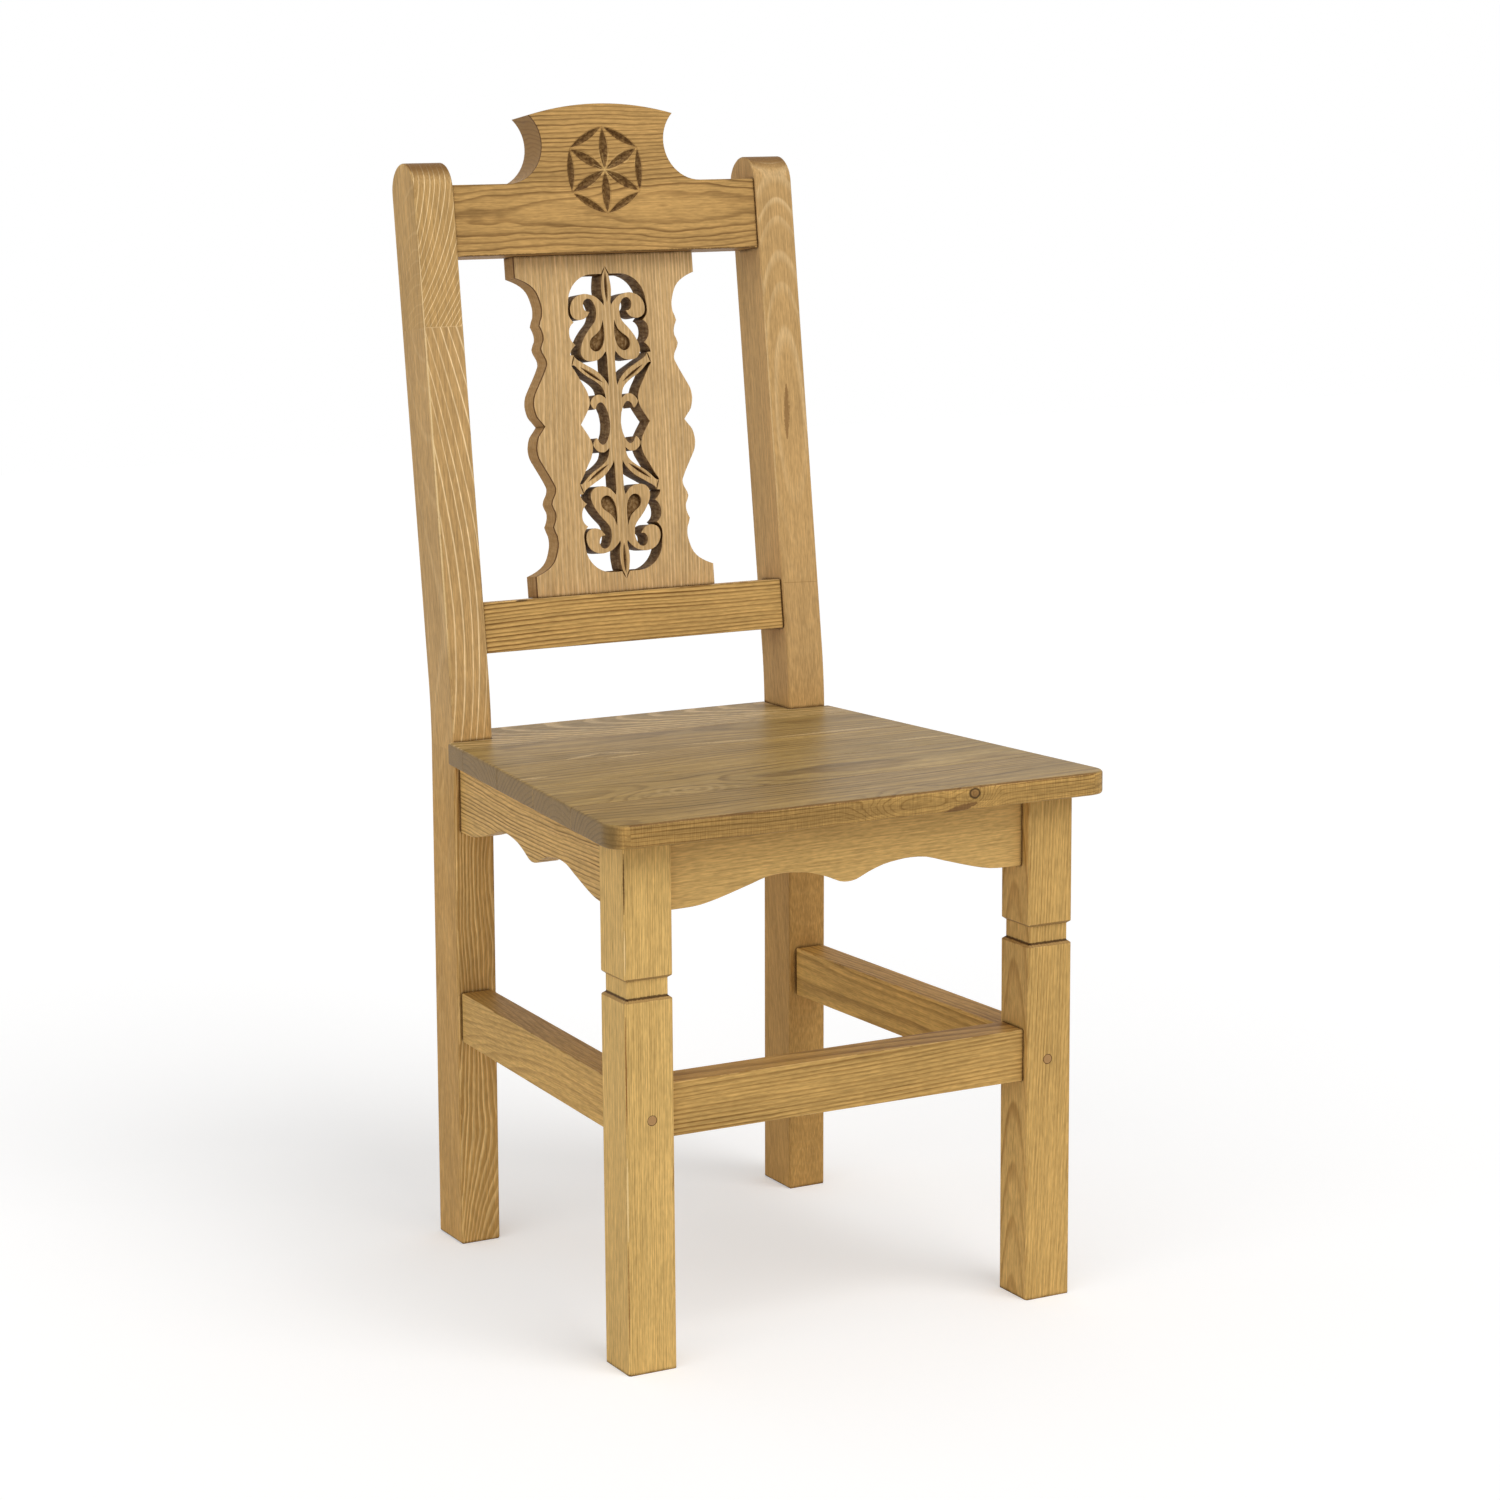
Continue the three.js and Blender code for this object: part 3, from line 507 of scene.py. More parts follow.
@dataclass(frozen=True)
class Carving:
    """The face that a piece was carved from, and how far round its middle the knife went."""

    origin: Place
    middle: Place
    spread: Place
    depth: float = 0.0012
    # the dark colour of the narrow piercings' walls, stain and painted shade, also drawn as the outline's
    # dark line
    inside: Colour = shade(86, 54, 20)
    outside: Colour = shade(140, 105, 62)
    inside_stain_and_shade_share: float = 0.92
    outside_share: float = 0.55
    line_share: float = 0.9


@dataclass(frozen=True)
class Board:
    """All that sets one piece's wood apart from its neighbours'."""

    growth: Growth
    spliced: tuple[Spliced, ...] = ()
    knots: tuple[Knot, ...] = ()
    marks: tuple[Mark, ...] = ()
    carving: Optional[Carving] = None
    quiet: Optional[Facing] = None
    tint: Colour = PLAIN
    low_tint: Optional[Colour] = None
    low_lines: float = 1.0
    late: Optional[Colour] = None
    lines: float = 1.0
    lines_band: Pair = FOOT_BAND


@dataclass(frozen=True)
class PineFinish:
    """Pine under a rubbed stain and clear varnish."""

    pale: Colour = shade(205, 168, 101)
    late: Colour = shade(166, 126, 68)
    contrast: float = 0.7
    quiet_lines: float = 0.12
    splice_blur: float = 0.0001
    fibre: float = 0.13
    cloud: float = 0.07
    speck: float = 0.11
    streak: float = 0.07
    saw: float = 0.0
    saw_strokes_per_metre: Place = (1300, 30, 30)
    # painted light and shade: one tint for the sides and one for the top, by the way each faces
    side_light_and_shade: Colour = PLAIN
    top_light_and_shade: Colour = PLAIN
    end: Colour = shade(158, 124, 78)
    end_late_tint: Colour = (0.72, 0.72, 0.72)
    end_share: float = 0.85
    knot_core: Colour = shade(132, 94, 56)
    knot_core_share: float = 0.6
    knot_rim: Colour = shade(44, 28, 18)
    knot_rim_share: float = 0.95
    # the colour, share and reach of the stain in the joints and the painted shade in the recesses
    joint: Colour = shade(74, 46, 20)
    joint_stain_and_shade_share: float = 0.9
    joint_stain_and_shade_reach: float = 0.0065
    # arris colours: a dark stain, and a pale one that is wear with a painted highlight
    arris_wear_and_highlight: Colour = shade(226, 190, 126)
    arris_dark: Colour = shade(118, 82, 40)
    arris_wear_and_highlight_share: float = 0.72
    arris_share: float = 0.5
    wear_per_metre: float = 34.0
    roughness: float = 0.5
    specular: float = 0.08
    coat: float = 0.02
    coat_roughness: float = 0.25
    bump: float = 0.12
    relief: float = 0.0005


class Surface:
    """A new material, with the place and the normal on its piece."""

    def __init__(self, name: str) -> None:
        """Makes the material.

        Args:
            name: The material's name.
        """
        self.material = bpy.data.materials.new(name)
        self.material.use_nodes = True
        self.wire = Wiring(self.material.node_tree)
        self.shader = self.material.node_tree.nodes["Principled BSDF"].inputs
        coordinates = self.wire.node("ShaderNodeTexCoord").outputs
        self.place, self.normal = coordinates["Object"], coordinates["Normal"]


class PineSurface(Surface):
    """The material of one pine piece, its colour laid on in layers."""

    def __init__(self, name: str, finish: PineFinish, board: Board) -> None:
        """Begins with the bare wood, its rings bent round its knots.

        Args:
            name: The material's name.
            finish: The stain and varnish.
            board: The piece's own growth, knots, marks and carving.
        """
        super().__init__(name)
        self.finish, self.board = finish, board
        self.colour: Feed = finish.pale
        self.late: Feed = 0.0
        self.knots = [self.wire.use(knot_group(), Vector=self.place, Centre=knot.centre, Radius=knot.radius,
                                    Stretch=knot.stretch, Bend=knot.bend) for knot in board.knots]
        self.push = self.wire.plus(0, *(made["Push"] for made in self.knots))
        self.grain = self.grow(board.growth)

    def grow(self, growth: Growth) -> Grain:
        """Places one growth and returns its sockets."""
        log = self.wire.node("ShaderNodeMapping", (self.place, *growth.mapping())).outputs[0]
        return Grain(*self.wire.use(
            growth_group(), Vector=log, Ring_Width=growth.ring_width, Wander=growth.wander,
            Ripple=growth.ripple, Bow=growth.bow, Line_Start=growth.line_start, Seed=growth.seed,
            Push=self.push))

    def turned(self, way: Sequence[float]) -> Socket:
        """Returns the cosine between the surface and one way."""
        return self.wire.dot(self.normal, way)

    def height(self) -> Socket:
        """Returns the height above the floor."""
        return self.wire.split(self.place)[2]

    def stain(self, share: Feed, strength: Feed, colour: Feed) -> None:
        """Lays a colour on, as strong as a share times a strength."""
        self.colour = self.wire.mix(self.wire.times(share, strength), self.colour, colour)

    def tint(self, tint: Feed) -> None:
        """Multiplies the colour laid on so far."""
        self.colour = self.wire.mix(1, self.colour, tint, "MULTIPLY")

    def splice(self) -> None:
        """Joins on the board's other lengths of wood."""
        wire, blur = self.wire, self.finish.splice_blur
        for splice in self.board.spliced:
            above = wire.ramp(wire.dot(wire.gap(self.place, splice.joint), splice.upward), -blur, blur)
            other = self.grow(splice.growth)
            self.grain = Grain(*(wire.between(above, *both) for both in zip(self.grain, other)))
            self.colour = wire.mix(above, self.colour, tinted(self.finish.pale, splice.tint))

    def draw_lines(self) -> None:
        """Draws the years' late wood, fainter where the board is quiet or low."""
        wire, board = self.wire, self.board
        late = wire.times(self.grain.late, self.finish.contrast * board.lines)
        if board.quiet is not None:
            turned = wire.math("ABSOLUTE", self.turned(board.quiet.value))
            late = wire.times(late, wire.ramp(turned, *FACING_BAND, 1, self.finish.quiet_lines))
        if board.low_tint is not None:
            late = wire.times(late, wire.ramp(self.height(), *board.lines_band, board.low_lines, 1))
        self.colour = wire.mix(late, self.colour, board.late or self.finish.late)
        self.late = late

    def lay_tone(self) -> None:
        """Lays on the light and dark of fibres, brush clouds, specks, streaks and saw strokes."""
        wire, grain, finish = self.wire, self.grain, self.finish

        def swing(noise: Socket, depth: float, band: Pair = NOISE_BAND) -> Socket:
            """Returns a factor that swings about 1 by a depth."""
            return wire.ramp(noise, *band, 1.0 - depth, 1.0 + depth)

        tone = wire.times(swing(grain.fibre, -finish.fibre, CRISP_BAND), swing(grain.cloud, -finish.cloud),
                          swing(grain.speck, finish.speck), swing(grain.streak, finish.streak))
        if finish.saw > 0.0:
            place = wire.vector("MULTIPLY", self.place, finish.saw_strokes_per_metre)
            front = wire.ramp(self.turned(Facing.FRONT.value), *FACING_BAND)
            strokes = swing(wire.noise(place, 1, 3, 0.7), -finish.saw, CRISP_BAND)
            tone = wire.times(tone, wire.between(front, 1, strokes))
        self.tint(wire.join(tone, tone, tone))

    def lay_tints_and_light(self) -> None:
        """Tints the board and a post's foot, then paints light and shade on the sides and the top by the way
        they face.
        """
        board, tint = self.board, self.board.tint
        if board.low_tint is not None:
            tint = self.wire.mix(self.wire.fade(self.height(), *FOOT_BAND), tint, board.low_tint)
        self.tint(tint)
        # painted light and shade by facing: the sides get one tint, the top another
        flat = self.wire.ramp(self.turned(Facing.SKY.value), *FLAT_BAND)
        self.tint(self.wire.mix(flat, self.finish.side_light_and_shade, self.finish.top_light_and_shade))

    def lay_end_grain(self) -> None:
        """Browns the ends of the board and draws the years on them."""
        end, share = self.finish.end, self.wire.math("ABSOLUTE", self.turned(self.board.growth.along()))
        self.stain(self.wire.ramp(share, *END_BAND), self.finish.end_share,
                   self.wire.mix(self.late, end, tinted(end, self.finish.end_late_tint)))

    def lay_knots(self) -> None:
        """Colours the knots: their own rings, their cores and their rims."""
        finish = self.finish
        for knot, made in zip(self.board.knots, self.knots):
            self.stain(made["Swirl"], knot.swirl_share, knot.swirl or finish.late)
            self.stain(made["Core"], knot.core * finish.knot_core_share, finish.knot_core)
            self.stain(made["Rim"], knot.core * finish.knot_rim_share, finish.knot_rim)

    def lay_carving(self) -> None:
        """Lays stain and painted shade into the carving, where there is one."""
        cut = self.board.carving
        if cut is not None:
            cuts = self.wire.use(carving_stain_and_shade_group(), Vector=self.place, Normal=self.normal, Origin=cut.origin,
                                 Inward=INTO_BACK, Middle=cut.middle, Spread=cut.spread, Depth=cut.depth)
            self.stain(cuts["Outside"], cut.outside_share, cut.outside)
            self.stain(cuts["Line"], cut.line_share, cut.inside)
            self.stain(cuts["Inside"], cut.inside_stain_and_shade_share, cut.inside)

    def rub_arrises(self) -> None:
        """Rubs the arrises pale or dark in patches; the pale is wear with a painted highlight."""
        wire, finish = self.wire, self.finish
        arris = wire.node("ShaderNodeAttribute", attribute_name="arris").outputs["Fac"]
        place = wire.vector("ADD", self.place, (self.board.growth.seed, 0, 0))
        worn = wire.noise(place, finish.wear_per_metre, 3, 0.6)
        bare_band = (edge - 0.3 * finish.arris_wear_and_highlight_share for edge in (0.66, 0.7))
        bare = wire.mix(wire.ramp(worn, *bare_band), finish.arris_dark, finish.arris_wear_and_highlight)
        least, most = (finish.arris_share * part for part in (0.6, 1.4))
        self.stain(arris, wire.ramp(worn, *CRISP_BAND, least, most), bare)

    def lay_marks(self) -> None:
        """Darkens the recesses with stain and painted shade, then draws the board's own marks."""
        board, finish = self.board, self.finish
        shade_and_stain = self.wire.use(recess_stain_and_shade_group(), Vector=self.place, Reach=finish.joint_stain_and_shade_reach,
                                 Seed=board.growth.seed)
        # stain in the joints and painted shade in the recesses
        self.stain(shade_and_stain["Share"], finish.joint_stain_and_shade_share, finish.joint)
        for mark in board.marks:
            drawn = self.wire.use(stroke_group(), Vector=self.place, Start=mark.start, End=mark.end,
                                  Width=mark.width, Ragged=mark.ragged, Taper=mark.taper)
            self.stain(drawn["Mark"], mark.strength, mark.colour)

    def varnish(self) -> None:
        """Joins the colour, the sheen and the fibres' relief to the shader."""
        wire, finish, rough = self.wire, self.finish, self.finish.roughness
        relief = {"Strength": finish.bump, "Distance": finish.relief, "Height": self.grain.height}
        feeds = {"Base Color": self.colour,
                 "Roughness": wire.ramp(self.grain.fibre, *NOISE_BAND, rough - 0.05, rough + 0.08),
                 "Specular IOR Level": finish.specular, "Coat Weight": finish.coat,
                 "Coat Roughness": finish.coat_roughness,
                 "Normal": wire.node("ShaderNodeBump", relief).outputs[0]}
        for name, value in feeds.items():
            wire.feed(self.shader[name], value)

    def build(self) -> bpy.types.Material:
        """Lays every layer on, from the wood up to the varnish, and returns the material."""
        for lay in (self.splice, self.draw_lines, self.lay_tone, self.lay_tints_and_light, self.lay_end_grain,
                    self.lay_knots, self.lay_carving, self.rub_arrises, self.lay_marks, self.varnish):
            lay()
        return self.material


@dataclass
class Joinery:
    """Makes the fine version of one sawn piece: welded, with rounded and rubbed arrises."""

    node: str
    arris: float
    sharp_degrees: float = 32.0
    smooth_degrees: float = 40.0
    flat_degrees: float = 0.6
    merge_distance: float = 0.00001
    segments: int = 2

    def __post_init__(self) -> None:
        """Copies a piece of the frame, so that the frame's own mesh stays as it is."""
        self.piece = bpy.data.objects.new(f"{self.node}_fine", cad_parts[self.node].data.copy())
        self.piece.data.materials.clear()
        bpy.context.scene.collection.objects.link(self.piece)
        bpy.ops.object.select_all(action="DESELECT")
        self.piece.select_set(True)
        bpy.context.view_layer.objects.active = self.piece

    def weld(self) -> None:
        """Merges the loose triangles and joins those that lie flat together."""
        bpy.ops.object.mode_set(mode="EDIT")
        bpy.ops.mesh.select_all(action="SELECT")
        bpy.ops.mesh.remove_doubles(threshold=self.merge_distance)
        bpy.ops.mesh.dissolve_limited(angle_limit=math.radians(self.flat_degrees))
        bpy.ops.mesh.select_all(action="DESELECT")
        bpy.ops.object.mode_set(mode="OBJECT")

    def ease(self) -> None:
        """Rounds the sharp edges and marks the rounding, so that the finish can rub it."""
        mesh = self.piece.data
        mesh.materials.append(None)
        mesh.materials.append(None)
        bevel = self.piece.modifiers.new("ease", "BEVEL")
        bevel.width, bevel.segments, bevel.use_clamp_overlap = self.arris, self.segments, True
        bevel.limit_method, bevel.angle_limit = "ANGLE", math.radians(self.sharp_degrees)
        bevel.material = 1
        bpy.ops.object.modifier_apply(modifier="ease")
        on_face, on_rounding = ([False] * len(mesh.vertices) for _ in range(2))
        for polygon in mesh.polygons:
            marks = on_rounding if polygon.material_index == 1 else on_face
            for vertex in polygon.vertices:
                marks[vertex] = True
            polygon.material_index = 0
        worn = [float(edge and not flat) for edge, flat in zip(on_rounding, on_face)]
        mesh.attributes.new("arris", "FLOAT", "POINT").data.foreach_set("value", worn)
        mesh.materials.clear()

    def smooth(self) -> None:
        """Shades the piece smooth over its roundings and flat on its flats."""
        bpy.ops.object.shade_smooth_by_angle(angle=math.radians(self.smooth_degrees))
        even = self.piece.modifiers.new("flats", "WEIGHTED_NORMAL")
        even.mode, even.weight, even.keep_sharp = "FACE_AREA", 100, True
        bpy.ops.object.modifier_apply(modifier="flats")

    def dress(self, finish: PineFinish, board: Board) -> Thing:
        """Works the piece, gives it its finish and puts it in the frame piece's place.

        Args:
            finish: The stain and varnish.
            board: The piece's own growth, knots, marks and carving.

        Returns:
            The finished object.
        """
        self.weld()
        self.ease()
        self.smooth()
        self.piece.data.materials.append(PineSurface(self.piece.name, finish, board).build())
        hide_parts(self.node)
        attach(self.piece, BODY)
        return self.piece


@dataclass
class SeatBoard:
    """The seat, glued from staves that run across the chair."""

    arris: float = 0.0005
    sharp_degrees: float = 60.0
    top: float = 478.0
    # The seat's finish paints light on its edges, which come out lighter than its top.
    finish: PineFinish = PineFinish(
        pale=shade(155, 127, 75), late=shade(104, 77, 38), end=shade(122, 97, 57), joint=shade(84, 58, 30),
        arris_wear_and_highlight=shade(206, 172, 118), arris_dark=shade(92, 64, 34), arris_share=0.9, contrast=0.9,
        fibre=0.12, cloud=0.1, streak=0.24, saw=0.24, side_light_and_shade=(1.42, 1.31, 1.16), roughness=0.42,
        specular=0.11, bump=0.06)
    streak: Colour = shade(196, 166, 116)

    def streaks(self, *runs: tuple[float, float, float, float]) -> tuple[Mark, ...]:
        """Returns pale streaks on the top, each from one x and y to another, in mm."""
        return tuple(Mark(in_chair(x1, y1, self.top), in_chair(x2, y2, self.top), 0.0036, self.streak,
                          0.75, 1.8, 0.9) for x1, y1, x2, y2 in runs)

    def log(self, heart: Pair, tilt: Pair, ring_width: float, seed: float, wander: float = 0.03,
            ripple: float = 0.003, line_start: float = 0.45) -> Growth:
        """Returns a log that runs across the chair, its heart and its grain's tilt given in y and z."""
        return Growth(in_chair(0, *heart), (1, *tilt), Facing.SKY, ring_width, wander, ripple,
                      line_start=line_start, seed=seed)

    def front(self) -> Board:
        """Describes the front stave, whose edge shows other wood than its top, with a knot in it.

        Returns:
            The stave's wood.
        """
        edge = self.log((60, 300), (0, 0.012), 0.003, 9, 0.02, 0.0016, 0.6)
        knot = Knot(in_chair(102.6, -26.5, 472), 0.004, (0.85, 1, 1), 0.012)
        swirl = Knot(in_chair(54, -26.5, 463), 0.009, (0.6, 1.4, 2.2), 0.03, 0, swirl_share=0)
        smear = Mark(in_chair(72, -26.6, 457), in_chair(104, -26.6, 463.5), 0.0042, shade(96, 62, 38),
                     0.7, 1)
        rim = Mark(in_chair(-226, -25.8, 477.5), in_chair(232, -25.8, 477.5), 0.0012, shade(104, 64, 36),
                   0.6, 1.3, 0.05)
        # painted shade darkening the left part of the seat's front edge
        edge_shade = Mark(in_chair(-420, -27, 467), in_chair(60, -27, 467), 0.015, shade(88, 58, 28),
                    0.2, 0.8, 1)
        return Board(self.log((-10, 405), (0.05, 0), 0.004, 4),
                     (Spliced(edge, in_chair(0, -26, 0), Facing.FRONT.value),), knots=(knot, swirl),
                     marks=(smear, rim, edge_shade), tint=(0.96, 0.95, 0.97), lines=1.2)

    def boards(self) -> list[Board]:
        """Describes the wood of the staves.

        Returns:
            Each stave's wood, from the front to the rear.
        """
        oval = Knot(in_chair(-112.4, 84, self.top), 0.0105, (0.66, 1, 1), 0.012, 0, self.streak, 0.42)
        twin = Knot(in_chair(-150, 74, self.top), 0.006, (0.6, 1, 1), 0.006, 0, self.streak, 0.24)
        third = self.streaks((148, 195.4, 214, 195.3), (-222, 197, -192, 198.3),
                             (-110, 250, -58, 256))
        fourth = self.streaks((-146, 262, -104, 276), (-104, 276, -62, 262),
                              (-24, 275.8, 64, 265.3), (64, 265.3, 205, 267.7))
        rear = self.log((442, 350), (0, 0.12), 0.0045, 8, 0.016, 0.002, 0.5)
        return [
            self.front(),
            Board(self.log((104, 400), (0.05, 0.01), 0.005, 5), knots=(oval, twin),
                  tint=(1.04, 1.04, 1.02)),
            Board(self.log((150, 380), (0.03, 0), 0.0048, 6, ripple=0.002), marks=third,
                  tint=(1.06, 1.05, 1)),
            Board(self.log((335, 400), (-0.02, 0.01), 0.0052, 7), marks=fourth),
            Board(rear, marks=self.streaks((100, 380, 143, 387)), tint=(0.97, 0.96, 0.95),
                  late=self.streak, lines=2.6),
        ]

    def build(self) -> list[Thing]:
        """Builds and dresses the staves, from the front to the rear."""
        return [Joinery(f"seat_stave_{stave}", self.arris, self.sharp_degrees)
                .dress(self.finish, board) for stave, board in enumerate(self.boards(), 1)]


@dataclass
class FrontLegs:
    """Two square legs with a cut neck."""

    arris: float = 0.0007
    middle: float = 197.4
    half_side: float = 22.5
    neck_half: float = 19.1
    neck_foot: float = 324.2
    finish: PineFinish = PineFinish(pale=shade(215, 177, 108), late=shade(162, 119, 58), contrast=0.45,
                                    fibre=0.16, cloud=0.05, arris_wear_and_highlight_share=0.45, arris_share=0.7)

    def board(self, side: Side) -> Board:
        """Describes a leg's wood: the left has a check in its arris, the right long arches on its left side.

        Args:
            side: Which leg it is.

        Returns:
            The leg's wood.
        """
        if side is Side.LEFT:
            growth = Growth(in_chair(-330, 90, 200), (0.01, 0.006, 1), ring_width=0.0017,
                            wander=0.006, ripple=0.0006, seed=11)
            smear = Mark(in_chair(-174, -0.2, 192), in_chair(-177.5, -0.2, 156), 0.0014,
                         shade(150, 106, 54), 0.7, 1.2)
            return Board(growth, marks=(*self.checks(), smear, *self.neck_stain_and_shade_lines(side)))
        growth = Growth(in_chair(240, 22, 200), (0.048, -0.01, 1), Facing.LEFT, 0.003, 0.006, 0.0006,
                        line_start=0.5, seed=14)
        return Board(growth, marks=self.neck_stain_and_shade_lines(side), tint=(0.87, 0.83, 0.79), lines=1.5)

    def neck_stain_and_shade_lines(self, side: Side) -> tuple[Mark, ...]:
        """Draws the dark line round the foot of a leg's neck, stain and painted shade in the corner.

        Args:
            side: Which leg it is.

        Returns:
            The line's four marks.
        """
        middle = -self.middle if side is Side.LEFT else self.middle
        near, far = self.half_side - self.neck_half, self.half_side + self.neck_half
        left, right = middle - self.neck_half, middle + self.neck_half
        corners = [in_chair(*corner, self.neck_foot) for corner in
                   ((left, near), (right, near), (right, far), (left, far), (left, near))]
        return tuple(Mark(start, end, 0.0019, shade(60, 36, 14), 0.85, 0.9, 0.1)
                     for start, end in zip(corners, corners[1:]))

    def checks(self) -> tuple[Mark, ...]:
        """Draws the marks down the left leg's arris: dark where it has split, pale where it has rubbed, with
        a painted highlight.

        Returns:
            The marks, from the top down.
        """
        # the pale marks are rubbed wood with a painted highlight
        dark, brown, bare = shade(70, 42, 18), shade(126, 76, 32), shade(238, 206, 148)
        runs = ((449, 398, 0.0009, dark), (384, 346, 0.0008, bare), (311, 211, 0.0007, brown),
                (190, 118, 0.0009, bare), (114, 20, 0.0005, brown))
        return tuple(Mark(in_chair(-219.2, 0.8, top), in_chair(-219.2, 0.8, low), width, colour, 0.9)
                     for top, low, width, colour in runs)

    def build(self) -> list[Thing]:
        """Builds and dresses both legs."""
        return [Joinery(f"front_leg_{side.value}", self.arris).dress(self.finish, self.board(side))
                for side in Side]


@dataclass
class RearPosts:
    """Two posts that run from the floor to the rounded tops."""

    arris: float = 0.0008
    sharp_degrees: float = 40.0
    finish: PineFinish = PineFinish(
        pale=shade(193, 155, 101), late=shade(246, 214, 162), end=shade(112, 76, 34), contrast=1)
    low_tint: Colour = (0.95, 0.88, 0.68)
    pale_glue: Colour = shade(224, 190, 138)

    def left(self) -> Board:
        """Describes the left post's wood, spliced below the crest, its lines slanting two ways.

        Returns:
            The post's wood.
        """
        foot = Growth(in_chair(-90, 410, 100), (0.03, 0, 1), Facing.LEFT, 0.0046, 0.09, 0.0046,
                      line_start=0.36, seed=23)
        lower = Growth(in_back(-100, 2, 100), lean(), Facing.LEFT, 0.008, 0.012,
                       bow=-0.55, line_start=0.76, seed=21)
        upper = Growth(in_back(-60, 2, 517), lean(), Facing.LEFT, 0.005, 0.01,
                       bow=-2.12, line_start=0.76, seed=22)
        above_seat = Spliced(lower, in_chair(0, 0, 470), Facing.SKY.value)
        above_glue = Spliced(upper, in_back(0, 0, 351.7), tuple(UP_LEAN), (0.95, 0.94, 0.88))
        glue = Mark(in_back(-197, -0.2, 351.6), in_back(-154, -0.2, 351.8), 0.0005, self.pale_glue, 0.7,
                    0.4, 0.1)
        # a pale line down the front arris: rubbed wood with a painted highlight
        edge = Mark(in_back(-194.6, 0.3, 40), in_back(-194.6, 0.3, 462), 0.0011, shade(236, 206, 154),
                    0.85)
        return Board(foot, (above_seat, above_glue), marks=(glue, edge), quiet=Facing.LEFT,
                     low_tint=self.low_tint, low_lines=0.75, lines=1.5)

    def right(self) -> Board:
        """Describes the right post's wood: long nested ovals round a dark resin pocket.

        Returns:
            The post's wood.
        """
        ovals = Growth(in_back(177, 42, 258), lean(), ring_width=0.004, wander=0.004,
                       ripple=0.0006, bow=0.44, line_start=0.5, seed=24)
        pocket = Mark(in_back(174.6, -0.2, 284), in_back(171.5, -0.2, 232), 0.0038, shade(136, 100, 58),
                      0.75, 1.2, 0.85)
        dome = Mark(in_back(160, -0.2, 480), in_back(193, -0.2, 481), 0.0006, self.pale_glue, 0.6,
                    0.4, 0.1)
        # a pale line down the front arris: rubbed wood with a painted highlight
        edge = Mark(in_back(156.4, 0.3, 110), in_back(156.4, 0.3, 400), 0.0009, shade(232, 202, 150), 0.6)
        glue = Mark(in_back(150, -0.2, 96), in_back(194, -0.2, 94.5), 0.0005, shade(140, 104, 58), 0.5,
                    0.4, 0.1)
        return Board(ovals, marks=(pocket, dome, edge, glue), quiet=Facing.LEFT, low_tint=self.low_tint,
                     low_lines=0.1, lines=0.42, lines_band=(0.62, 0.8))

    def build(self) -> list[Thing]:
        """Builds and dresses both posts."""
        boards = {Side.LEFT: self.left(), Side.RIGHT: self.right()}
        return [Joinery(f"rear_post_{side.value}", self.arris, self.sharp_degrees).dress(self.finish, board)
                for side, board in boards.items()]


@dataclass
class Aprons:
    """Front, side and rear aprons under the seat."""

    arris: float = 0.0007
    finish: PineFinish = PineFinish(pale=shade(210, 171, 105), late=shade(158, 118, 60), contrast=0.32,
                                    speck=0.12, cloud=0.05, streak=0.04)
    side_finish: PineFinish = PineFinish(pale=shade(208, 167, 100), late=shade(92, 58, 22), contrast=1)

    def build(self) -> list[Thing]:
        """Builds and dresses the aprons.

        Returns:
            The four finished aprons.
        """
        front = Growth(in_chair(0, 110, 280), (1, 0.01, 0.02), ring_width=0.0026, wander=0.012,
                       ripple=0.0008, seed=31)
        left = Growth(in_chair(-130, 250, 620), (0.04, 1, 0), Facing.LEFT, 0.0036, ripple=0.0026,
                      bow=0.3, line_start=0.4, seed=33)
        right = Growth(in_chair(170, 200, 420), (-0.05, 1, 0.02), Facing.LEFT, seed=35)
        rear = Growth(in_chair(0, 500, 400), (1, 0, 0.02), seed=37)
        cuts = (("front_apron", self.finish, front), ("side_apron_left", self.side_finish, left),
                ("side_apron_right", self.side_finish, right), ("rear_apron", self.finish, rear))
        return [Joinery(node, self.arris).dress(finish, Board(growth)) for node, finish, growth in cuts]


@dataclass
class Stretchers:
    """The front and side stretchers."""

    arris: float = 0.0008
    # The stretchers' finish paints shade on their tops, under the seat.
    finish: PineFinish = PineFinish(pale=shade(197, 158, 94), late=shade(112, 74, 30), contrast=0.85,
                                    fibre=0.14, top_light_and_shade=(0.84, 0.8, 0.74))

    def build(self) -> list[Thing]:
        """Builds and dresses the stretchers.

        Returns:
            The three finished stretchers.
        """
        front = Growth(in_chair(0, 60, 100), (1, 0.01, 0.02), ring_width=0.0036, wander=0.012,
                       seed=41)
        left = Growth(in_chair(-150, 110, 190), (0.03, 1, -0.03), Facing.LEFT, 0.0034, ripple=0.002,
                      bow=0.14, seed=43)
        right = Growth(in_chair(240, 200, 190), (-0.05, 1, 0.03), Facing.LEFT, 0.004, seed=45)
        cuts = (("front_stretcher", front, (0.97, 0.96, 0.93), 0.9),
                ("side_stretcher_left", left, (1.01, 0.99, 0.9), 0.5),
                ("side_stretcher_right", right, (1.13, 1.1, 0.94), 0.75))
        return [Joinery(node, self.arris).dress(self.finish, Board(growth, tint=tint, lines=lines))
                for node, growth, tint, lines in cuts]


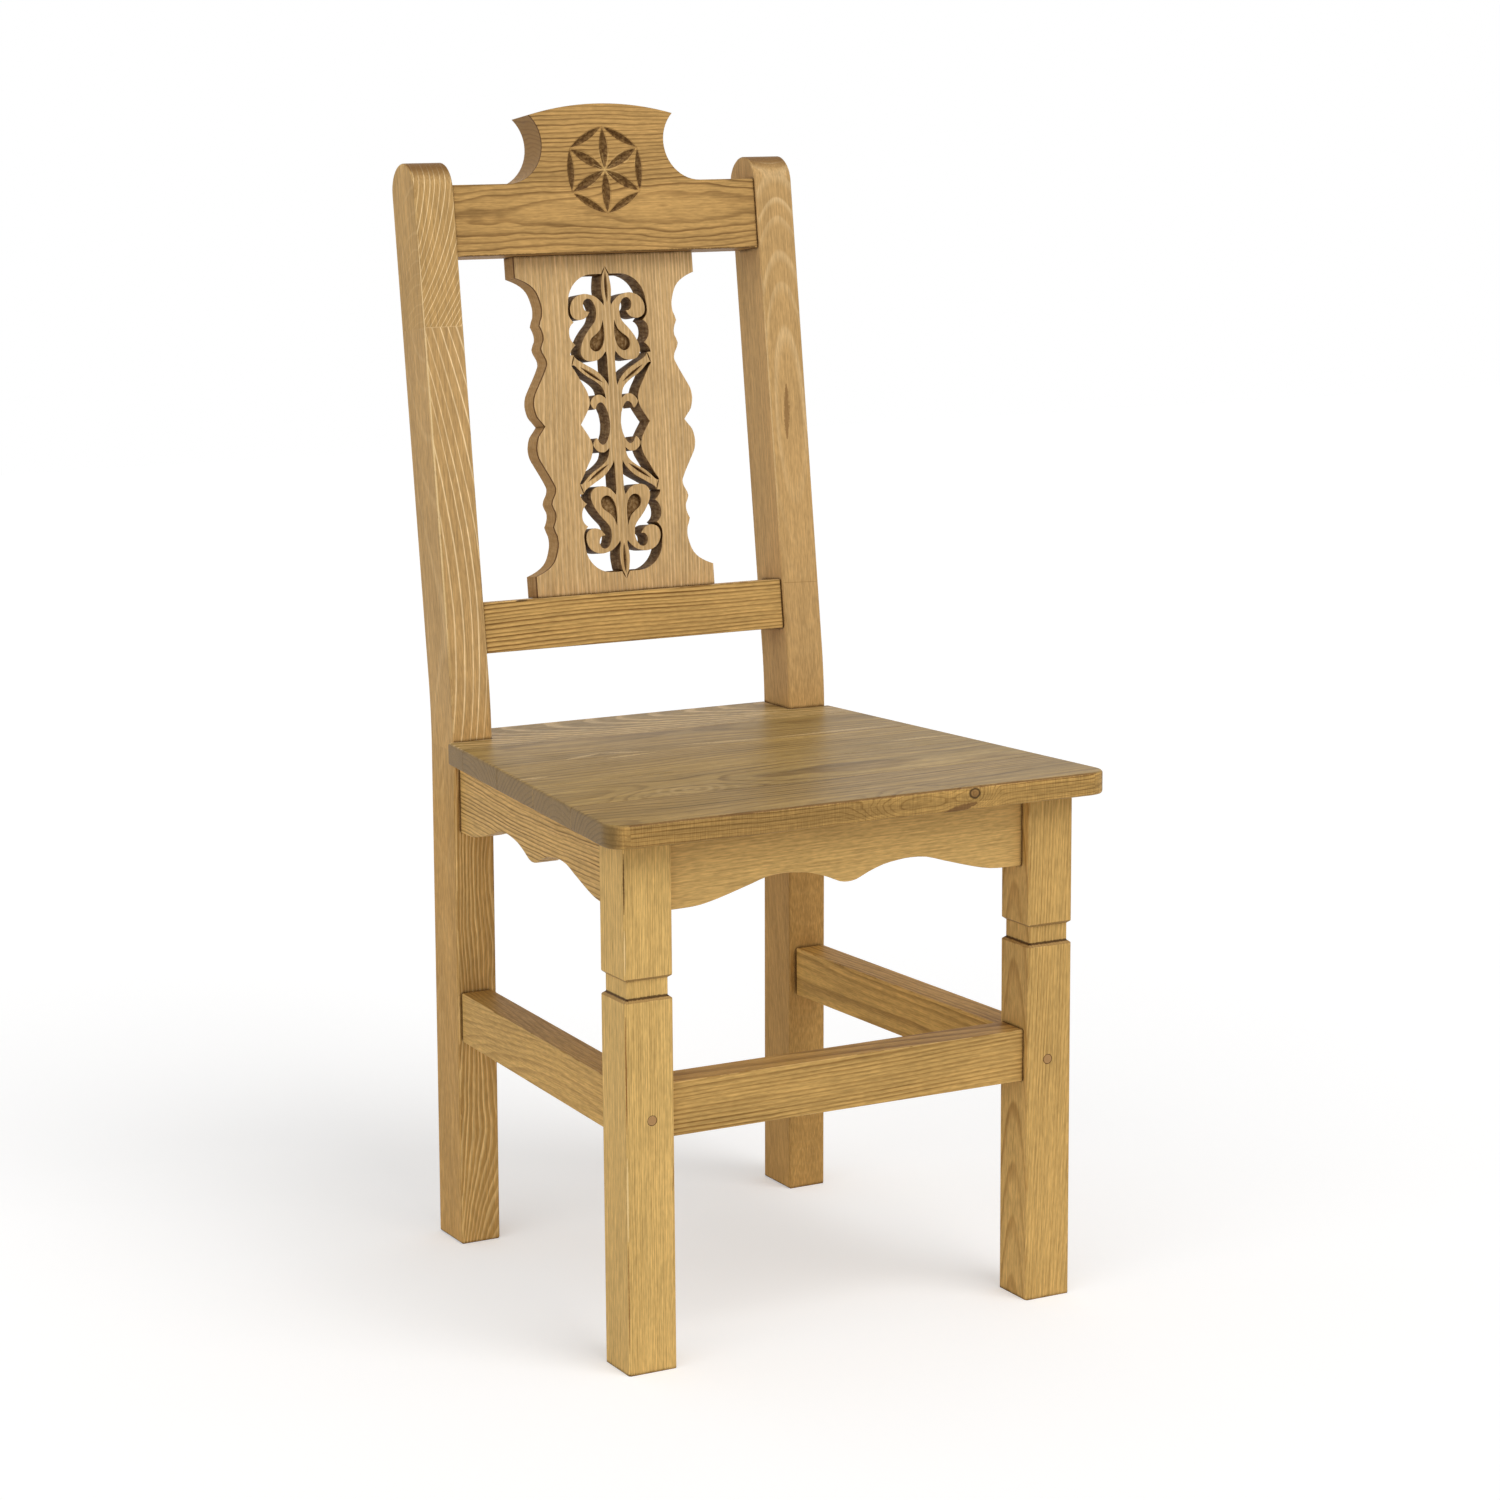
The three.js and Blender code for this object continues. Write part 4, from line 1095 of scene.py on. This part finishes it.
@dataclass
class LeaningBack:
    """Crest rail, lower rail and pierced splat."""

    rail_arris: float = 0.0009
    carved_arris: float = 0.00035
    carved_sharp_degrees: float = 25.0
    carved_smooth_degrees: float = 28.0
    rail_recess: float = 3.3
    splat_recess: float = 18.3
    dark_line: Colour = shade(74, 50, 26)
    crest_finish: PineFinish = PineFinish(
        pale=shade(192, 151, 91), late=shade(96, 64, 30), contrast=1, cloud=0.12, arris_wear_and_highlight_share=0.3)
    rail_finish: PineFinish = PineFinish(pale=shade(206, 165, 99), late=shade(104, 67, 28), contrast=1)
    splat_finish: PineFinish = PineFinish(
        pale=shade(199, 163, 112), late=shade(232, 200, 152), end=shade(192, 156, 106), contrast=0.75,
        arris_wear_and_highlight_share=0.2, arris_share=0.9, arris_dark=shade(84, 56, 26), specular=0.03, coat=0)

    def rail_line(self, ends: Pair, up: float, width: float, *look: float) -> Mark:
        """Returns a dark line along a rail's arris, between two ends in mm, with its width and look."""
        left, right = (in_back(end, self.rail_recess + 0.4, up) for end in ends)
        return Mark(left, right, width, self.dark_line, *look)

    def crest(self) -> Board:
        """Describes the crest rail's wood, flat-sawn, so that its lines open out at mid height.

        Returns:
            The rail's wood.
        """
        growth = Growth(in_back(20, 36, 449), (1, 0, 0), ring_width=0.0035, wander=0.03,
                        ripple=0.0042, bow=0.05, line_start=0.42, seed=51)
        carving = Carving(in_back(0, self.rail_recess, 0), in_back(0, self.rail_recess, 490.3),
                          (23, 23, 23), depth=0.0007, inside=shade(78, 50, 22), inside_stain_and_shade_share=0.95)
        below = self.rail_line((-152, 152), 414.9, 0.0011, 0.75, 1.4, 0.1)
        return Board(growth, marks=(below,), carving=carving)

    def lower_rail(self) -> Board:
        """Returns the lower rail's wood, with the small dent in its upper arris."""
        growth = Growth(in_back(0, 60, -60), (1, 0, 0.012), ring_width=0.0034, wander=0.01,
                        seed=53)
        return Board(growth, marks=(self.rail_line((-123, -110), 98.8, 0.0012, 0.9),))

    def splat(self) -> Board:
        """Describes the splat's wood: fine upright lines, with stain and painted shade held in the piercing.

        Returns:
            The splat's wood.
        """
        growth = Growth(in_back(-130, 110, 250), lean(0.018), wander=0.014, line_start=0.4, seed=55)
        carving = Carving(in_back(0, self.splat_recess, 0), in_back(0, self.splat_recess, 257),
                          (21, 0, 0), outside=shade(152, 111, 58), outside_share=0.6)
        return Board(growth, carving=carving)

    def build(self) -> list[Thing]:
        """Builds and dresses the crest rail, the lower rail and the splat."""
        carved = (self.carved_arris, self.carved_sharp_degrees, self.carved_smooth_degrees)
        return [Joinery("crest_rail", *carved).dress(self.crest_finish, self.crest()),
                Joinery("lower_back_rail", self.rail_arris).dress(self.rail_finish, self.lower_rail()),
                Joinery("back_splat", *carved).dress(self.splat_finish, self.splat())]


@dataclass
class Fixings:
    """Plugs that show in the front legs, and the cleats and screws out of sight."""

    plug_arris: float = 0.0004
    plug_degrees: float = 50.0
    cleat_arris: float = 0.0008
    plug_finish: PineFinish = PineFinish(
        pale=shade(172, 132, 84), late=shade(140, 100, 58), end=shade(176, 136, 90), contrast=0.4)
    cleat_finish: PineFinish = PineFinish(
        pale=shade(216, 185, 135), late=shade(190, 150, 98), end=shade(200, 166, 116), joint_stain_and_shade_share=0.3)
    zinc_shades: tuple[Colour, Colour] = (shade(172, 170, 160), shade(206, 205, 197))
    zinc_roughness: Pair = (0.28, 0.45)
    spangles_per_metre: float = 900.0

    def plug(self, side: Side) -> Thing:
        """Builds and dresses one leg's plug.

        Args:
            side: Which leg it is in.

        Returns:
            The finished plug.
        """
        node = f"leg_plug_{side.value}"
        low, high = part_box(node)
        heart = (low + high) / 2.0 + Vector((0.006, 0, -0.005))
        growth = Growth(tuple(heart), (0, 1, 0), Facing.SKY, 0.0013, 0.002, seed=61)
        return (Joinery(node, self.plug_arris, self.plug_degrees, self.plug_degrees)
                .dress(self.plug_finish, Board(growth)))

    def cleat(self, row: str) -> Thing:
        """Builds and dresses the cleat of one row and returns it."""
        growth = Growth((0, -0.1, 0.4), (1, 0, 0.02), seed=65)
        return (Joinery(f"seat_cleat_{row}", self.cleat_arris)
                .dress(self.cleat_finish, Board(growth)))

    def build(self) -> list[Thing]:
        """Builds and dresses plugs, cleats and screws.

        Returns:
            The finished pieces.
        """
        screws = [thing for node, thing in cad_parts.items() if "screw" in node]
        steel = self.zinc()
        for screw in screws:
            screw.data.materials.clear()
            screw.data.materials.append(steel)
        return [self.plug(side) for side in Side] + [self.cleat(row) for row in ("front", "rear")] + screws

    def zinc(self) -> bpy.types.Material:
        """Builds the screws' zinc plating.

        Returns:
            The material.
        """
        surface = Surface("zinc_plating")
        wire, shader = surface.wire, surface.shader
        spangle = wire.noise(surface.place, self.spangles_per_metre)
        wire.feed(shader["Base Color"], wire.mix(spangle, *self.zinc_shades))
        wire.feed(shader["Roughness"], wire.ramp(spangle, *CRISP_BAND, *self.zinc_roughness))
        wire.feed(shader["Metallic"], 1)
        return surface.material


class Lamp(NamedTuple):
    """A broad, soft lamp: degrees to the right of the front and above the floor, breadth and strength."""

    name: str
    azimuth: float
    height: float
    breadth: float
    strength: float


@dataclass
class Studio:
    """Floor, lamps and camera."""

    focal_px: float = 3697.0
    frame_px: float = 1500.0
    sensor_mm: float = 36.0
    sight: float = 50.0
    yaw: float = 0.498059
    pitch: float = 0.181454
    roll: float = -0.006940
    eye_mm: Place = (-1542, -2650.23, 1077.9)
    floor_size: float = 14.0
    paper_grey: Colour = (0.8, 0.8, 0.8)
    paper_glow: float = 0.3
    room_light: float = 0.55
    lamps: tuple[Lamp, ...] = (Lamp("key", 20, 50, 40, 1.1), Lamp("fill", -60, 22, 60, 0.72))

    def add_camera(self) -> None:
        """Puts the camera where the photograph was taken from."""
        data = bpy.data.cameras.new("photographer")
        data.sensor_width = self.sensor_mm
        data.lens = self.focal_px * self.sensor_mm / self.frame_px
        data.clip_end = self.sight
        camera = bpy.data.objects.new("photographer", data)
        turned, tipped, rolled = (Matrix.Rotation(turn, 4, axis) for turn, axis in (
            (-self.yaw, "Z"), (math.pi / 2 - self.pitch, "X"), (self.roll, "Z")))
        camera.matrix_world = Matrix.Translation(in_chair(*self.eye_mm)) @ turned @ tipped @ rolled
        bpy.context.scene.collection.objects.link(camera)
        bpy.context.scene.camera = camera

    def seen(self, wire: Wiring) -> Socket:
        """Returns 1 for rays that should meet plain white paper, and 0 for light."""
        ray = wire.node("ShaderNodeLightPath").outputs
        return reduce(partial(wire.math, "MAXIMUM"),
                      (ray["Is Glossy Ray"], ray["Is Transmission Ray"], ray["Is Camera Ray"]))

    def paper(self) -> bpy.types.Material:
        """Builds the white studio paper, which lets the chair's shadow show.

        Returns:
            The material.
        """
        material = bpy.data.materials.new("studio_paper")
        material.use_nodes = True
        material.node_tree.nodes.clear()
        wire = Wiring(material.node_tree)
        matt = wire.node("ShaderNodeBsdfDiffuse", [self.paper_grey])
        glow = wire.node("ShaderNodeEmission", {"Strength": wire.times(self.seen(wire), self.paper_glow)})
        both = wire.node("ShaderNodeAddShader", (matt.outputs[0], glow.outputs[0]))
        wire.node("ShaderNodeOutputMaterial", [both.outputs[0]])
        return material

    def add_floor(self) -> None:
        """Lays the floor."""
        bpy.ops.object.select_all(action="DESELECT")
        bpy.ops.mesh.primitive_plane_add(size=self.floor_size, location=(0, 0, 0))
        floor = bpy.context.object
        floor.name = "floor"
        floor.data.materials.append(self.paper())

    def add_lamp(self, lamp: Lamp) -> None:
        """Adds one lamp.

        Args:
            lamp: Where it is and how it shines.
        """
        data = bpy.data.lights.new(lamp.name, "SUN")
        data.angle = math.radians(lamp.breadth)
        data.energy = lamp.strength
        made = bpy.data.objects.new(lamp.name, data)
        made.rotation_euler = math.radians(90 - lamp.height), 0, math.radians(lamp.azimuth)
        bpy.context.scene.collection.objects.link(made)

    def add_light(self) -> None:
        """Sets the white room and the lamps."""
        world = bpy.data.worlds.new("white_room")
        world.use_nodes = True
        bpy.context.scene.world = world
        wire = Wiring(world.node_tree)
        back = world.node_tree.nodes["Background"].inputs
        wire.feed(back["Color"], PLAIN)
        wire.feed(back["Strength"], wire.ramp(self.seen(wire), 0, 1, self.room_light, 1))
        for lamp in self.lamps:
            self.add_lamp(lamp)

    def build(self) -> None:
        """Sets the whole studio up."""
        self.add_camera()
        self.add_floor()
        self.add_light()
        bpy.context.scene.view_settings.view_transform = "Standard"


def main() -> None:
    """Builds the chair's pieces in order, then the studio."""
    logging.basicConfig(level=logging.INFO, format="%(name)s: %(message)s")
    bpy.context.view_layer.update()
    for assembly in (SeatBoard(), FrontLegs(), RearPosts(), Aprons(), Stretchers(), LeaningBack(), Fixings()):
        for piece in assembly.build():
            LOG.info("%s: %s, %d faces", type(assembly).__name__, piece.name, len(piece.data.polygons))
    Studio().build()


if __name__ == "__main__":
    main()
